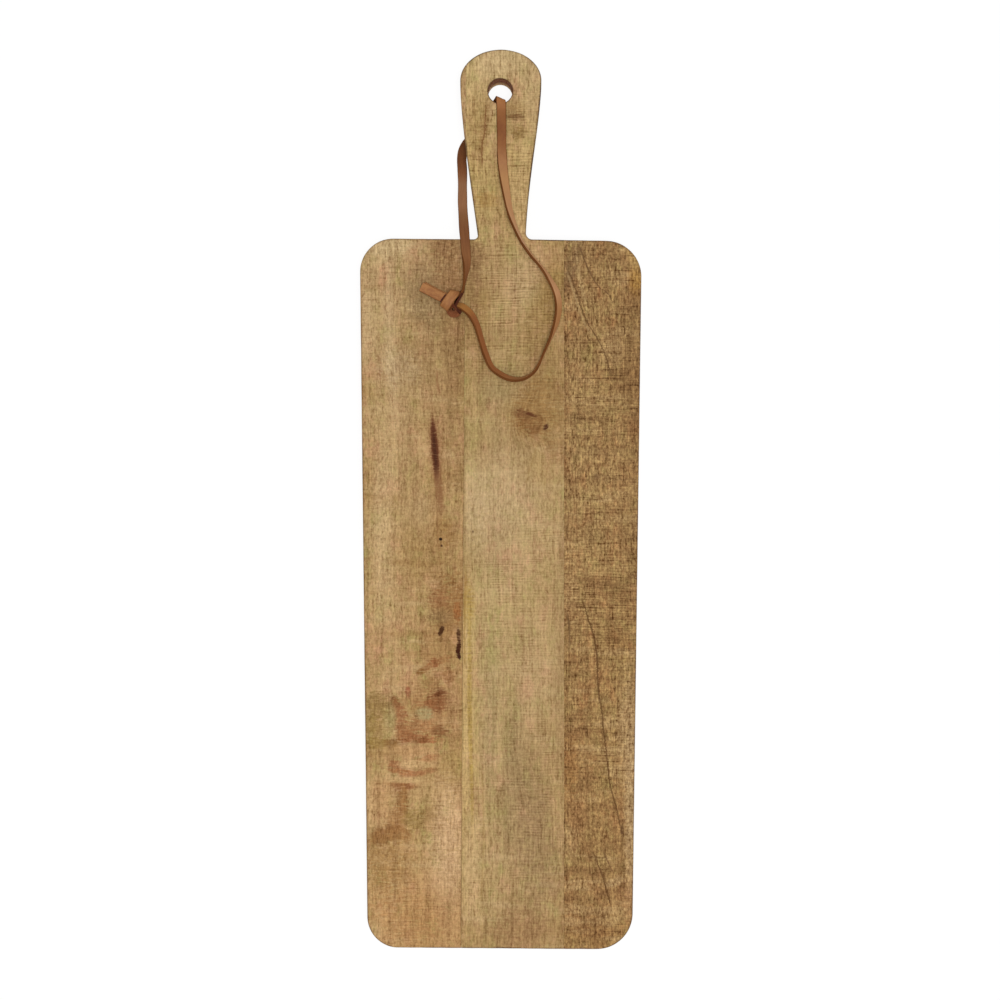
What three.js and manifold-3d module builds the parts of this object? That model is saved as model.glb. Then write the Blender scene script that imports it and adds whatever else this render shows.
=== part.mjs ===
// A rustic serving board of three edge-glued planks with a handle, lying on its back.
// A flat leather thong runs through the hanging hole and is tied in a knot on the board's face.
// Millimetres. X is across the board, +Y points to the handle's end, +Z is up out of the face.
// The origin is at the middle of the board's footprint, on the surface that it lies on.
import * as THREE from 'three';
import { mergeVertices } from 'three/addons/utils/BufferGeometryUtils.js';
import Module from 'manifold-3d';

// Board
const boardLength = 500;
const boardThickness = 15;
const bodyTopWidth = 156.8;
const bodyBottomWidth = 147;
const bottomShift = -0.5;
const bottomLeftLift = 1.2;
const rightShoulderDrop = 1.1;
const leftShoulderRise = 0.6;
const topLeftRadius = 18.4;
const topRightRadius = 20;
const bottomLeftRadius = 17.3;
const bottomRightRadius = 20;
const arrisRadius = 1.2;

// Handle
const handleLength = 105.4;
const headWidth = 45.1;
const headRise = 17.1;
const headReach = 20;
const neckWidth = 26.2;
const neckShift = 0.7;
const neckReach = 40;
const leftNeckFlareShare = 0.139;
const rightNeckFlareShare = 0.05;
const leftNeckRadius = 2.2;
const rightNeckRadius = 3.6;
const reliefRamp = 12;
const reliefSetback = 3;

// Hanging hole
const holeDiameter = 13.6;
const holeToEnd = 23.2;
const holeShift = -0.3;
const holeEase = 0.6;

// Planks: distances of the glue lines from the board's middle line
const leftJointAtTop = 19.15;
const leftJointAtBottom = 22.05;
const rightJoint = 35.1;
const glueLine = 0.1;

// Thong
const thongWidth = 5.3;
const thongThickness = 1.4;
const thongEdgeRound = 0.35;
const contactGap = 0.3;
const thongStep = 3;
const bendStep = 1.3;

const overrun = 10;
const pointSpacing = 0.02;
const curveParts = 14;

const wasm = await Module();
wasm.setup();

const halfLength = boardLength / 2;
const shoulderY = halfLength - handleLength;
const holeY = halfLength - holeToEnd;
const handleRelief = thongThickness + 2 * contactGap;

// Solid modelling

function solidOf(geometry) {
  const bare = geometry.clone();
  bare.deleteAttribute('normal');
  bare.deleteAttribute('uv');
  const merged = mergeVertices(bare);
  const vertProperties = new Float32Array(merged.attributes.position.array);
  const triVerts = new Uint32Array(merged.index.array);
  return new wasm.Manifold(new wasm.Mesh({ numProp: 3, vertProperties, triVerts }));
}

function geometryOf(solid) {
  const mesh = solid.getMesh();
  const geometry = new THREE.BufferGeometry();
  geometry.setAttribute('position', new THREE.BufferAttribute(new Float32Array(mesh.vertProperties), 3));
  geometry.setIndex(new THREE.BufferAttribute(new Uint32Array(mesh.triVerts), 1));
  geometry.computeVertexNormals();
  return geometry;
}

// Board outline

// The arc that rounds a corner of the outline, between the sides from "before" and to "after".
function cornerArc(before, corner, after, radius) {
  const inward = before.clone().sub(corner).normalize();
  const onward = after.clone().sub(corner).normalize();
  const turn = Math.acos(inward.dot(onward));
  const setback = radius / Math.tan(turn / 2);
  const start = corner.clone().addScaledVector(inward, setback);
  const end = corner.clone().addScaledVector(onward, setback);
  const bisector = inward.clone().add(onward).normalize();
  const centre = corner.clone().addScaledVector(bisector, radius / Math.sin(turn / 2));
  const startAngle = Math.atan2(start.y - centre.y, start.x - centre.x);
  const endAngle = Math.atan2(end.y - centre.y, end.x - centre.x);
  const clockwise = inward.cross(onward) > 0;
  return { start, centre, radius, startAngle, endAngle, clockwise };
}

function runRound(shape, { start, centre, radius, startAngle, endAngle, clockwise }) {
  shape.lineTo(start.x, start.y);
  shape.absarc(centre.x, centre.y, radius, startAngle, endAngle, clockwise);
}

function boardShape() {
  const bottomLeft = new THREE.Vector2(bottomShift - bodyBottomWidth / 2, bottomLeftLift - halfLength);
  const bottomRight = new THREE.Vector2(bottomShift + bodyBottomWidth / 2, -halfLength);
  const topRight = new THREE.Vector2(bodyTopWidth / 2, shoulderY - rightShoulderDrop);
  const topLeft = new THREE.Vector2(-bodyTopWidth / 2, shoulderY + leftShoulderRise);
  const neckRight = new THREE.Vector2(neckShift + neckWidth / 2, shoulderY);
  const neckLeft = new THREE.Vector2(neckShift - neckWidth / 2, shoulderY);
  const rightSide = neckRight.clone().add(new THREE.Vector2(rightNeckFlareShare * neckReach, neckReach));
  const leftSide = neckLeft.clone().add(new THREE.Vector2(-leftNeckFlareShare * neckReach, neckReach));
  const headBaseY = halfLength - headRise;
  const headHalf = headWidth / 2;
  const headLowY = headBaseY - headReach;

  const startCorner = cornerArc(bottomLeft, bottomRight, topRight, bottomRightRadius);
  const leftNeck = cornerArc(leftSide, neckLeft, topLeft, leftNeckRadius);
  const shape = new THREE.Shape();
  shape.moveTo(startCorner.start.x, startCorner.start.y);
  runRound(shape, startCorner);
  runRound(shape, cornerArc(bottomRight, topRight, neckRight, topRightRadius));
  runRound(shape, cornerArc(topRight, neckRight, rightSide, rightNeckRadius));
  shape.bezierCurveTo(rightSide.x, rightSide.y, headHalf, headLowY, headHalf, headBaseY);
  shape.absellipse(0, headBaseY, headHalf, headRise, 0, Math.PI, false);
  shape.bezierCurveTo(-headHalf, headLowY, leftSide.x, leftSide.y, leftNeck.start.x, leftNeck.start.y);
  runRound(shape, leftNeck);
  runRound(shape, cornerArc(neckLeft, topLeft, bottomLeft, topLeftRadius));
  runRound(shape, cornerArc(topLeft, bottomLeft, bottomRight, bottomLeftRadius));
  const points = shape.getPoints(curveParts);
  const spaced = points.filter((point, i) => i === 0 || point.distanceTo(points[i - 1]) > pointSpacing);
  return new THREE.Shape(spaced);
}

function boardBlank() {
  const geometry = new THREE.ExtrudeGeometry(boardShape(), {
    depth: boardThickness - 2 * arrisRadius,
    bevelEnabled: true,
    bevelThickness: arrisRadius,
    bevelSize: arrisRadius,
    bevelOffset: -arrisRadius,
    bevelSegments: 2,
  });
  geometry.translate(0, 0, arrisRadius);
  return solidOf(geometry);
}

// The back of the handle is planed back, with a ramp at the shoulder, so the thong passes under it.
function handleReliefCut() {
  const rampStart = shoulderY + reliefSetback;
  const farY = halfLength + overrun;
  const profile = new THREE.Shape();
  profile.moveTo(rampStart, 0);
  profile.lineTo(rampStart + reliefRamp, handleRelief);
  profile.lineTo(farY, handleRelief);
  profile.lineTo(farY, -overrun);
  profile.lineTo(rampStart, -overrun);
  profile.closePath();
  const geometry = new THREE.ExtrudeGeometry(profile, { depth: bodyTopWidth, bevelEnabled: false });
  geometry.translate(0, 0, -bodyTopWidth / 2);
  geometry.rotateX(Math.PI / 2);
  geometry.rotateZ(Math.PI / 2);
  return solidOf(geometry);
}

// The hole is drilled through the handle, and both of its mouths are eased.
function holeCut() {
  const radius = holeDiameter / 2;
  const mouth = radius + holeEase;
  const profile = [
    new THREE.Vector2(0, -overrun),
    new THREE.Vector2(mouth, -overrun),
    new THREE.Vector2(mouth, handleRelief),
    new THREE.Vector2(radius, handleRelief + holeEase),
    new THREE.Vector2(radius, boardThickness - holeEase),
    new THREE.Vector2(mouth, boardThickness),
    new THREE.Vector2(mouth, boardThickness + overrun),
    new THREE.Vector2(0, boardThickness + overrun),
  ];
  const geometry = new THREE.LatheGeometry(profile, 3 * curveParts);
  geometry.rotateX(Math.PI / 2);
  geometry.translate(holeShift, holeY, 0);
  return solidOf(geometry);
}

// Planks

function prism(corners) {
  const shape = new THREE.Shape(corners.map(([x, y]) => new THREE.Vector2(x, y)));
  const geometry = new THREE.ExtrudeGeometry(shape, { depth: boardThickness + 2 * overrun, bevelEnabled: false });
  geometry.translate(0, 0, -overrun);
  return solidOf(geometry);
}

const farX = bodyTopWidth / 2 + overrun;
const highY = halfLength + overrun;
const lowY = -halfLength - overrun;
const handleMidY = shoulderY + handleLength / 3;

// The left glue line leans a little: it comes nearer to the middle line towards the handle.
function leftJointX(y) {
  const share = (y + halfLength) / boardLength;
  return -(leftJointAtBottom + (leftJointAtTop - leftJointAtBottom) * share);
}

const halfGlue = glueLine / 2;
const leftRegion = prism([
  [-farX, lowY],
  [leftJointX(lowY) - halfGlue, lowY],
  [leftJointX(handleMidY) - halfGlue, handleMidY],
  [-farX, handleMidY],
]);
const handleEdgeRegion = prism([
  [-farX, handleMidY],
  [leftJointX(handleMidY) - halfGlue, handleMidY],
  [leftJointX(highY) - halfGlue, highY],
  [-farX, highY],
]);
const middleRegion = prism([
  [leftJointX(lowY) + halfGlue, lowY],
  [rightJoint - halfGlue, lowY],
  [rightJoint - halfGlue, highY],
  [leftJointX(highY) + halfGlue, highY],
]);
const rightRegion = prism([
  [rightJoint + halfGlue, lowY],
  [farX, lowY],
  [farX, highY],
  [rightJoint + halfGlue, highY],
]);

const board = boardBlank().subtract(handleReliefCut()).subtract(holeCut());

// Thong

// A strip's route: each station is a point on its middle line and the way its width points there.
class StripCurve extends THREE.CatmullRomCurve3 {
  constructor(stations) {
    super(stations.map(([x, y, z]) => new THREE.Vector3(x, y, z)));
    const widths = stations.map((station) => new THREE.Vector3(...station.slice(3)));
    this.widths = new THREE.CatmullRomCurve3(widths, false, 'catmullrom');
  }

  computeFrenetFrames(steps) {
    const tangents = [];
    const normals = [];
    const binormals = [];
    for (let step = 0; step <= steps; step += 1) {
      const tangent = this.getTangentAt(step / steps);
      const width = this.widths.getPoint(this.getUtoTmapping(step / steps));
      const binormal = width.addScaledVector(tangent, -width.dot(tangent)).normalize();
      tangents.push(tangent);
      binormals.push(binormal);
      normals.push(new THREE.Vector3().crossVectors(binormal, tangent));
    }
    return { tangents, normals, binormals };
  }
}

function stripShape(grow) {
  const halfThickness = thongThickness / 2 + grow;
  const halfWidth = thongWidth / 2 + grow;
  const flatThickness = halfThickness - thongEdgeRound;
  const flatWidth = halfWidth - thongEdgeRound;
  return new THREE.Shape([
    new THREE.Vector2(halfThickness, flatWidth),
    new THREE.Vector2(flatThickness, halfWidth),
    new THREE.Vector2(-flatThickness, halfWidth),
    new THREE.Vector2(-halfThickness, flatWidth),
    new THREE.Vector2(-halfThickness, -flatWidth),
    new THREE.Vector2(-flatThickness, -halfWidth),
    new THREE.Vector2(flatThickness, -halfWidth),
    new THREE.Vector2(halfThickness, -flatWidth),
  ]);
}

function strip(stations, stepLength, grow = 0) {
  const curve = new StripCurve(stations);
  const steps = Math.ceil(curve.getLength() / stepLength);
  return solidOf(new THREE.ExtrudeGeometry(stripShape(grow), { steps, extrudePath: curve }));
}

// From the knot down round the loop, standing on its edge, then up flat to the hanging hole.
const frontRoute = [
  [-23.0, 107.2, 17.9, -0.42, -0.5, 0.76],
  [-21.4, 106.2, 17.9, -0.37, -0.52, 0.77],
  [-17.5, 103.0, 17.9, -0.42, -0.41, 0.81],
  [-13.7, 97.3, 17.9, -0.49, -0.24, 0.84],
  [-10.3, 86.3, 17.9, -0.49, -0.15, 0.86],
  [-8.2, 79.9, 17.9, -0.46, -0.23, 0.86],
  [-5.0, 73.1, 17.9, -0.38, -0.35, 0.86],
  [0.3, 69.0, 17.9, -0.27, -0.44, 0.86],
  [4.6, 67.0, 18.0, -0.14, -0.45, 0.88],
  [8.8, 66.4, 18.0, 0, -0.37, 0.93],
  [13.0, 67.1, 18.0, 0.1, -0.26, 0.96],
  [16.5, 69.0, 18.0, 0.12, -0.15, 0.98],
  [19.5, 72.1, 18.0, 0.09, -0.08, 0.99],
  [23.6, 80.7, 18.0, 0, 0, 1],
  [27.7, 89.9, 18.0, -0.14, 0.06, 0.99],
  [31.0, 98.8, 18.0, -0.41, 0.13, 0.9],
  [32.4, 106.5, 18.0, -0.55, 0.03, 0.83],
  [31.4, 114.3, 18.0, -0.51, -0.22, 0.83],
  [28.4, 121.5, 18.0, -0.36, -0.26, 0.9],
  [23.4, 128.4, 18.0, -0.25, -0.23, 0.94],
  [17.3, 135.4, 18.0, -0.24, -0.2, 0.95],
  [12.0, 142.8, 18.0, -0.28, -0.17, 0.94],
  [9.0, 149.3, 18.0, -0.36, -0.15, 0.92],
  [6.5, 155.2, 18.0, -0.47, -0.18, 0.87],
  [4.7, 160.4, 17.9, -0.59, -0.17, 0.79],
  [2.4, 173.4, 17.5, -0.81, -0.13, 0.57],
  [0.9, 186.3, 16.7, -0.97, -0.08, 0.22],
  [0.5, 195, 16.0, -1, 0, 0.03],
  [0.5, 205, 16.0, -1, 0, 0],
  [0.3, 214, 16.0, -1, 0, 0],
];

// Over the hole's lower rim, down the hole, and back under the handle to its left edge.
const bendRoute = [
  [0.3, 214.45, 16.0, -1, 0, 0],
  [0.3, 217.4, 16.05, -0.99, 0.1, 0],
  [0.2, 219.5, 16.1, -0.97, 0.22, 0],
  [-0.1, 221.2, 15.8, -0.93, 0.36, 0],
  [-0.4, 222.4, 14.5, -0.9, 0.43, 0],
  [-0.6, 222.6, 12.0, -0.88, 0.48, 0],
  [-0.9, 222.6, 8.5, -0.86, 0.52, 0],
  [-1.2, 222.7, 5.2, -0.82, 0.57, 0],
  [-1.6, 222.4, 3.1, -0.79, 0.61, 0],
  [-1.9, 222.0, 1.8, -0.77, 0.64, 0],
  [-2.6, 221.2, 1.08, -0.76, 0.65, 0],
  [-3.7, 219.8, 1.0, -0.76, 0.65, 0],
  [-6.4, 216.5, 1.0, -0.76, 0.65, 0],
  [-11.8, 209.9, 1.0, -0.76, 0.65, 0],
  [-17.0, 203.4, 1.0, -0.77, 0.64, 0],
];

// Out from under the handle, up over the left shoulder, and on to the knot, turning on its edge.
const backRoute = [
  [-17.3, 203.05, 1.0, -0.77, 0.64, 0],
  [-19.8, 199.9, 1.0, -0.85, 0.53, 0],
  [-21.5, 196.2, 1.0, -0.96, 0.28, 0],
  [-22.0, 191.8, 1.6, -1, 0, 0],
  [-21.7, 186.5, 3.4, -1, 0, 0],
  [-21.5, 180.0, 6.1, -1, 0, 0],
  [-21.4, 172.3, 9.2, -1, 0, 0],
  [-21.3, 165.0, 11.9, -1, 0, 0],
  [-20.9, 157.9, 14.0, -1, 0, 0],
  [-20.4, 150.8, 15.6, -1, 0, 0],
  [-20.0, 145.6, 16.2, -1, 0, 0],
  [-19.6, 141.0, 16.2, -1, 0, 0.05],
  [-19.2, 135.5, 16.7, -0.93, 0, 0.37],
  [-18.9, 130.1, 17.6, -0.68, 0, 0.73],
  [-19.3, 124.0, 18.0, -0.36, 0.04, 0.93],
  [-20.3, 118.0, 18.1, -0.2, 0.04, 0.98],
  [-22.0, 113.2, 18.2, -0.24, 0.1, 0.97],
  [-24.0, 111.0, 18.2, -0.24, 0.1, 0.97],
];

// The two ends come out of the knot one on the other.
const upperTailRoute = [
  [-29.6, 111.1, 18.5, 0.478, 0.878, 0],
  [-34.0, 112.6, 18.2, 0.478, 0.878, 0],
  [-39.0, 115.2, 17.8, 0.478, 0.878, 0],
  [-44.0, 117.8, 17.7, 0.478, 0.878, 0],
];
const lowerTailRoute = [
  [-30.6, 112.4, 16.1, 0.478, 0.878, 0],
  [-33.6, 113.5, 16.0, 0.478, 0.878, 0],
  [-38.6, 116.0, 16.0, 0.478, 0.878, 0],
  [-43.0, 118.3, 16.0, 0.478, 0.878, 0],
];

// The knot: a core of folded strip, the band that wraps over it, and the lobe where one end turns back.
const knotRoute = [
  [-27.3, 111.3, 16.4, 0.89, -0.45, 0],
  [-26.2, 113.6, 16.6, 0.89, -0.45, 0],
  [-25.8, 114.3, 18.3, 0.89, -0.45, 0],
  [-26.4, 113.1, 20.2, 0.89, -0.45, 0],
  [-28.7, 108.6, 21.3, 0.89, -0.45, 0],
  [-30.9, 104.1, 20.2, 0.89, -0.45, 0],
  [-31.6, 102.9, 18.3, 0.89, -0.45, 0],
  [-31.2, 103.6, 16.6, 0.89, -0.45, 0],
  [-30.0, 105.9, 16.4, 0.89, -0.45, 0],
];
const knotCore = { at: [-26.6, 109.2, 18.1], half: [4.4, 5.6, 2.7], turn: -0.45 };
const knotLobe = { at: [-25.9, 104.0, 17.9], half: [3.0, 2.9, 2.5], turn: 0 };

function ellipsoid({ at, half, turn }, grow) {
  const geometry = new THREE.SphereGeometry(1, curveParts, curveParts / 2);
  geometry.scale(...half.map((reach) => reach + grow));
  geometry.rotateZ(turn);
  geometry.translate(...at);
  return solidOf(geometry);
}

function knot(grow) {
  const band = strip(knotRoute, bendStep, grow);
  return band.add(ellipsoid(knotCore, grow)).add(ellipsoid(knotLobe, grow));
}

const knotSpace = knot(contactGap);

// Materials

const lightWood = new THREE.MeshStandardMaterial({ color: 0xac8c60, roughness: 0.72, metalness: 0 });
const paleWood = new THREE.MeshStandardMaterial({ color: 0xaf9368, roughness: 0.7, metalness: 0 });
const brownWood = new THREE.MeshStandardMaterial({ color: 0x97764c, roughness: 0.74, metalness: 0 });
const edgeWood = new THREE.MeshStandardMaterial({ color: 0xa5825c, roughness: 0.72, metalness: 0 });
const leather = new THREE.MeshStandardMaterial({ color: 0x91613c, roughness: 0.62, metalness: 0 });
const leatherBack = new THREE.MeshStandardMaterial({ color: 0x825a3e, roughness: 0.8, metalness: 0 });

// Assembly

const object = new THREE.Group();

function addPiece(name, solid, material) {
  const mesh = new THREE.Mesh(geometryOf(solid), material);
  mesh.name = name;
  object.add(mesh);
}

addPiece('left_stave', board.intersect(leftRegion), lightWood);
addPiece('middle_stave', board.intersect(middleRegion), paleWood);
addPiece('right_stave', board.intersect(rightRegion), brownWood);
addPiece('handle_edge_strip', board.intersect(handleEdgeRegion), edgeWood);
addPiece('thong_front_run', strip(frontRoute, thongStep).subtract(knotSpace), leather);
addPiece('thong_hole_bend', strip(bendRoute, bendStep), leather);
addPiece('thong_back_run', strip(backRoute, thongStep).subtract(knotSpace), leatherBack);
addPiece('thong_knot', knot(0), leather);
addPiece('thong_tail_upper', strip(upperTailRoute, thongStep).subtract(knotSpace), leather);
addPiece('thong_tail_lower', strip(lowerTailRoute, thongStep).subtract(knotSpace), leatherBack);

export default object;
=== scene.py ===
import math
import bpy
import numpy as np
from mathutils.geometry import delaunay_2d_cdt
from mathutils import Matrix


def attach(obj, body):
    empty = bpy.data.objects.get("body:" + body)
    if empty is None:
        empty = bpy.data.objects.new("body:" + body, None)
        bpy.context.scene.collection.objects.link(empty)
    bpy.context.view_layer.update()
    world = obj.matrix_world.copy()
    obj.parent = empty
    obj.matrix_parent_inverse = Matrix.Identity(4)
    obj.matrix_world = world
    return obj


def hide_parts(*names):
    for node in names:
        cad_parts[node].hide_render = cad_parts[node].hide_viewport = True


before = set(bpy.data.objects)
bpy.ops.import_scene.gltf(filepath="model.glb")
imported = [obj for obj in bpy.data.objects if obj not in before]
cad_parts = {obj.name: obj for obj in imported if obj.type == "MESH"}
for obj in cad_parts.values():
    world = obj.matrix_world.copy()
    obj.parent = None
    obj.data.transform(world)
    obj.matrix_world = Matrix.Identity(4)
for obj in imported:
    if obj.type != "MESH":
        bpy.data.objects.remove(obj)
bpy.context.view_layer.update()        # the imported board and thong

mm = 0.001
rootBody = "root"
scene = bpy.context.scene
scene.view_settings.view_transform = "Standard"


# Camera: straight above the board, with the handle at the top of the picture

cameraView = {
    "place": (-0.45 * mm, -0.25 * mm, 835.3 * mm),
    "sensor": 36.0,
    "angle": 37.38,
    "nearest": 0.01,
    "farthest": 20.0,
}


def makeCamera(view):
    camera = bpy.data.cameras.new("boardCamera")
    camera.sensor_width = view["sensor"]
    camera.lens = view["sensor"] / 2 / math.tan(math.radians(view["angle"] / 2))
    camera.clip_start = view["nearest"]
    camera.clip_end = view["farthest"]
    stand = bpy.data.objects.new("boardCamera", camera)
    stand.location = view["place"]
    scene.collection.objects.link(stand)
    scene.camera = stand


makeCamera(cameraView)
print("camera stands over the board")


# Meshes

def buildMesh(name, points, faces, material, fields=None, sharpAngle=40):
    # points is an (n, 3) array in metres; fields are named arrays kept as attributes of the points
    mesh = bpy.data.meshes.new(name)
    mesh.from_pydata(points.tolist(), [], faces)
    for fieldName, values in (fields or {}).items():
        if values.ndim == 1:
            layer = mesh.attributes.new(fieldName, "FLOAT", "POINT")
            layer.data.foreach_set("value", values.astype(np.float32))
        else:
            layer = mesh.attributes.new(fieldName, "FLOAT_VECTOR", "POINT")
            layer.data.foreach_set("vector", values.astype(np.float32).ravel())
    mesh.polygons.foreach_set("use_smooth", np.ones(len(mesh.polygons), bool))
    mesh.set_sharp_from_angle(angle=math.radians(sharpAngle))
    mesh.materials.append(material)
    mesh.validate()
    mesh.update()
    piece = bpy.data.objects.new(name, mesh)
    scene.collection.objects.link(piece)
    return piece


def tubeFaces(rings, sides):
    # Quads between neighbouring rings of one closed section, and one flat face at each end
    ring, side = np.meshgrid(np.arange(rings - 1), np.arange(sides), indexing="ij")
    after = (side + 1) % sides
    quads = np.stack([ring * sides + side, ring * sides + after,
                      (ring + 1) * sides + after, (ring + 1) * sides + side], -1).reshape(-1, 4)
    first = list(range(sides - 1, -1, -1))
    last = list(range((rings - 1) * sides, rings * sides))
    return quads.tolist() + [first, last]


def faceOutwards(points, faces):
    # The volume under the faces is a sum of corner products; when it is negative all faces are turned
    volume = 0.0
    for size in {len(face) for face in faces}:
        corners = points[np.array([face for face in faces if len(face) == size])]
        for step in range(1, size - 1):
            edge = np.cross(corners[:, step], corners[:, step + 1])
            volume += np.einsum("ij,ij->", corners[:, 0], edge)
    return faces if volume > 0 else [face[::-1] for face in faces]


# Thong: a flat strip of vegetable-tanned leather, cut 5.3 mm wide

thong = {
    "width": 5.3,
    "wrapWidth": 5.5,
    "foldWidth": 3.2,
    "thickness": 1.4,
    "edgeRound": 0.42,
    "cornerSteps": 4,
    "flatSteps": 7,
    "spanSteps": 24,
    "stepLength": 0.8,
    "knotStep": 0.45,
    "cupping": 0.07,
    "cuppingDrift": 0.5,
    "cuppingWave": 5.1,
    "handCut": 0.035,
    "cutWaves": (7.3, 2.9),
    "secondCut": 0.6,
    "sharpAngle": 60,
}

# Each station: x, y, z in millimetres, then the way that the strip's width points there
frontRoute = [
    (-27.6, 107.6, 17.6, -0.42, -0.5, 0.76),
    (-25.4, 107.7, 17.8, -0.42, -0.5, 0.76),
    (-23.0, 107.2, 17.9, -0.42, -0.5, 0.76),
    (-21.2, 106.5, 17.9, -0.42, -0.58, 0.7),
    (-17.2, 103.2, 17.9, -0.5, -0.47, 0.73),
    (-13.7, 97.3, 17.9, -0.49, -0.24, 0.84),
    (-10.3, 86.3, 17.9, -0.49, -0.15, 0.86),
    (-8.2, 79.9, 17.9, -0.46, -0.23, 0.86),
    (-5.0, 73.1, 17.9, -0.38, -0.35, 0.86),
    (0.3, 69.0, 17.9, -0.27, -0.44, 0.86),
    (4.6, 67.0, 18.0, -0.14, -0.45, 0.88),
    (8.8, 66.4, 18.0, 0, -0.37, 0.93),
    (13.0, 67.1, 18.0, 0.1, -0.26, 0.96),
    (16.5, 69.0, 18.0, 0.12, -0.15, 0.98),
    (19.5, 72.1, 18.0, 0.09, -0.08, 0.99),
    (23.6, 80.7, 18.0, 0, 0, 1),
    (27.7, 89.9, 18.0, -0.14, 0.06, 0.99),
    (30.8, 98.8, 18.0, -0.44, 0.13, 0.88),
    (31.9, 106.5, 18.0, -0.6, 0.03, 0.79),
    (30.8, 114.3, 18.0, -0.62, -0.22, 0.75),
    (27.5, 121.0, 18.0, -0.42, -0.26, 0.87),
    (22.8, 128.0, 18.0, -0.23, -0.21, 0.95),
    (16.7, 135.1, 18.0, -0.2, -0.17, 0.96),
    (11.6, 142.6, 18.0, -0.26, -0.16, 0.95),
    (8.5, 149.2, 18.0, -0.36, -0.15, 0.92),
    (6.2, 155.1, 18.0, -0.47, -0.18, 0.87),
    (4.7, 160.4, 17.9, -0.59, -0.17, 0.79),
    (2.4, 173.4, 17.5, -0.81, -0.13, 0.57),
    (0.9, 186.3, 16.7, -0.97, -0.08, 0.22),
    (0.5, 195.0, 16.0, -1, 0, 0.03),
    (0.5, 205.0, 16.0, -1, 0, 0),
    (0.3, 214.0, 16.0, -1, 0, 0),
]
holeRoute = [
    (0.3, 217.4, 16.05, -0.99, 0.1, 0),
    (0.2, 219.5, 16.1, -0.97, 0.22, 0),
    (-0.1, 221.2, 15.8, -0.93, 0.36, 0),
    (-0.4, 222.4, 14.5, -0.9, 0.43, 0),
    (-0.6, 222.6, 12.0, -0.88, 0.48, 0),
    (-1.3, 222.6, 8.5, -0.86, 0.52, 0),
    (-1.9, 222.7, 5.2, -0.82, 0.57, 0),
    (-2.4, 222.5, 3.1, -0.79, 0.61, 0),
    (-2.7, 222.1, 1.8, -0.77, 0.64, 0),
    (-3.3, 221.3, 1.08, -0.76, 0.65, 0),
    (-4.2, 219.9, 1.0, -0.76, 0.65, 0),
    (-6.4, 216.5, 1.0, -0.76, 0.65, 0),
    (-11.8, 209.9, 1.0, -0.76, 0.65, 0),
    (-17.0, 203.4, 1.0, -0.77, 0.64, 0),
]
backRoute = [
    (-19.8, 199.9, 1.0, -0.85, 0.53, 0),
    (-21.5, 196.2, 1.0, -0.96, 0.28, 0),
    (-22.0, 191.8, 1.6, -1, 0, 0),
    (-21.7, 186.5, 3.4, -1, 0, 0),
    (-21.5, 180.0, 6.1, -1, 0, 0),
    (-21.4, 172.3, 9.2, -1, 0, 0),
    (-21.3, 165.0, 11.9, -1, 0, 0),
    (-20.9, 157.9, 14.0, -1, 0, 0),
    (-20.4, 150.8, 15.6, -1, 0, 0),
    (-20.0, 145.6, 16.2, -1, 0, 0),
    (-19.6, 141.0, 16.2, -1, 0, 0.05),
    (-19.2, 135.5, 16.7, -0.93, 0, 0.37),
    (-18.9, 130.1, 17.6, -0.68, 0, 0.73),
    (-19.6, 124.0, 18.0, -0.28, 0.04, 0.96),
    (-20.4, 118.6, 18.0, 0, 0, 1),
    (-21.1, 114.8, 17.9, 0, 0.05, 1),
    (-22.6, 112.2, 17.5, 0, 0.1, 1),
]


def lengthAlong(points):
    # How far along its own line each point lies
    return np.concatenate([[0], np.cumsum(np.linalg.norm(np.diff(points, axis=0), axis=1))])


def rowsAt(places, along, rows):
    # The rows of numbers that belong to places between the known ones
    return np.stack([np.interp(places, along, column) for column in rows.T], 1)


def smoothRoute(stations, stepLength, spanSteps):
    # A centripetal spline through the stations: each span is a cubic whose end slopes come from
    # its neighbours' chords, weighted by the square roots of their lengths. Sampled at an even step.
    known = np.array(stations, float)
    known = np.vstack([2 * known[0] - known[1], known, 2 * known[-1] - known[-2]])
    gap = np.sqrt(np.linalg.norm(np.diff(known[:, :3], axis=0), axis=1))[:, None]
    slope = np.diff(known, axis=0) / gap
    pull = slope[:-1] - (known[2:] - known[:-2]) / (gap[1:] + gap[:-1]) + slope[1:]
    start, end = (side[:, None] * gap[1:-1, None] for side in (pull[:-1], pull[1:]))
    here, after = known[1:-2, None], known[2:-1, None]
    u = np.linspace(0, 1, spanSteps, endpoint=False)[None, :, None]
    cubic = ((2 * u**3 - 3 * u**2 + 1) * here + (u**3 - 2 * u**2 + u) * start
             + (3 * u**2 - 2 * u**3) * after + (u**3 - u**2) * end)
    dense = np.vstack([cubic.reshape(-1, known.shape[1]), known[-2]])
    along = lengthAlong(dense[:, :3])
    even = np.linspace(0, along[-1], max(3, int(round(along[-1] / stepLength)) + 1))
    return even, rowsAt(even, along, dense)


def stripSection(strip):
    # A flat oval: four rounded corners joined by flats; the flats have points to bow on
    radius = strip["edgeRound"]
    halfThickness = strip["thickness"] / 2
    turn = np.linspace(0, math.pi / 2, strip["cornerSteps"])
    inner = np.array([strip["width"] / 2 - radius, halfThickness - radius])
    corner = inner + radius * np.stack([np.cos(turn), np.sin(turn)], 1)
    flat = np.linspace(1, -1, strip["flatSteps"] + 2)[1:-1, None] * [inner[0], 0]
    half = np.vstack([corner, flat + [0, halfThickness], corner[::-1] * [-1, 1]])
    return np.vstack([half, -half])


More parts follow.
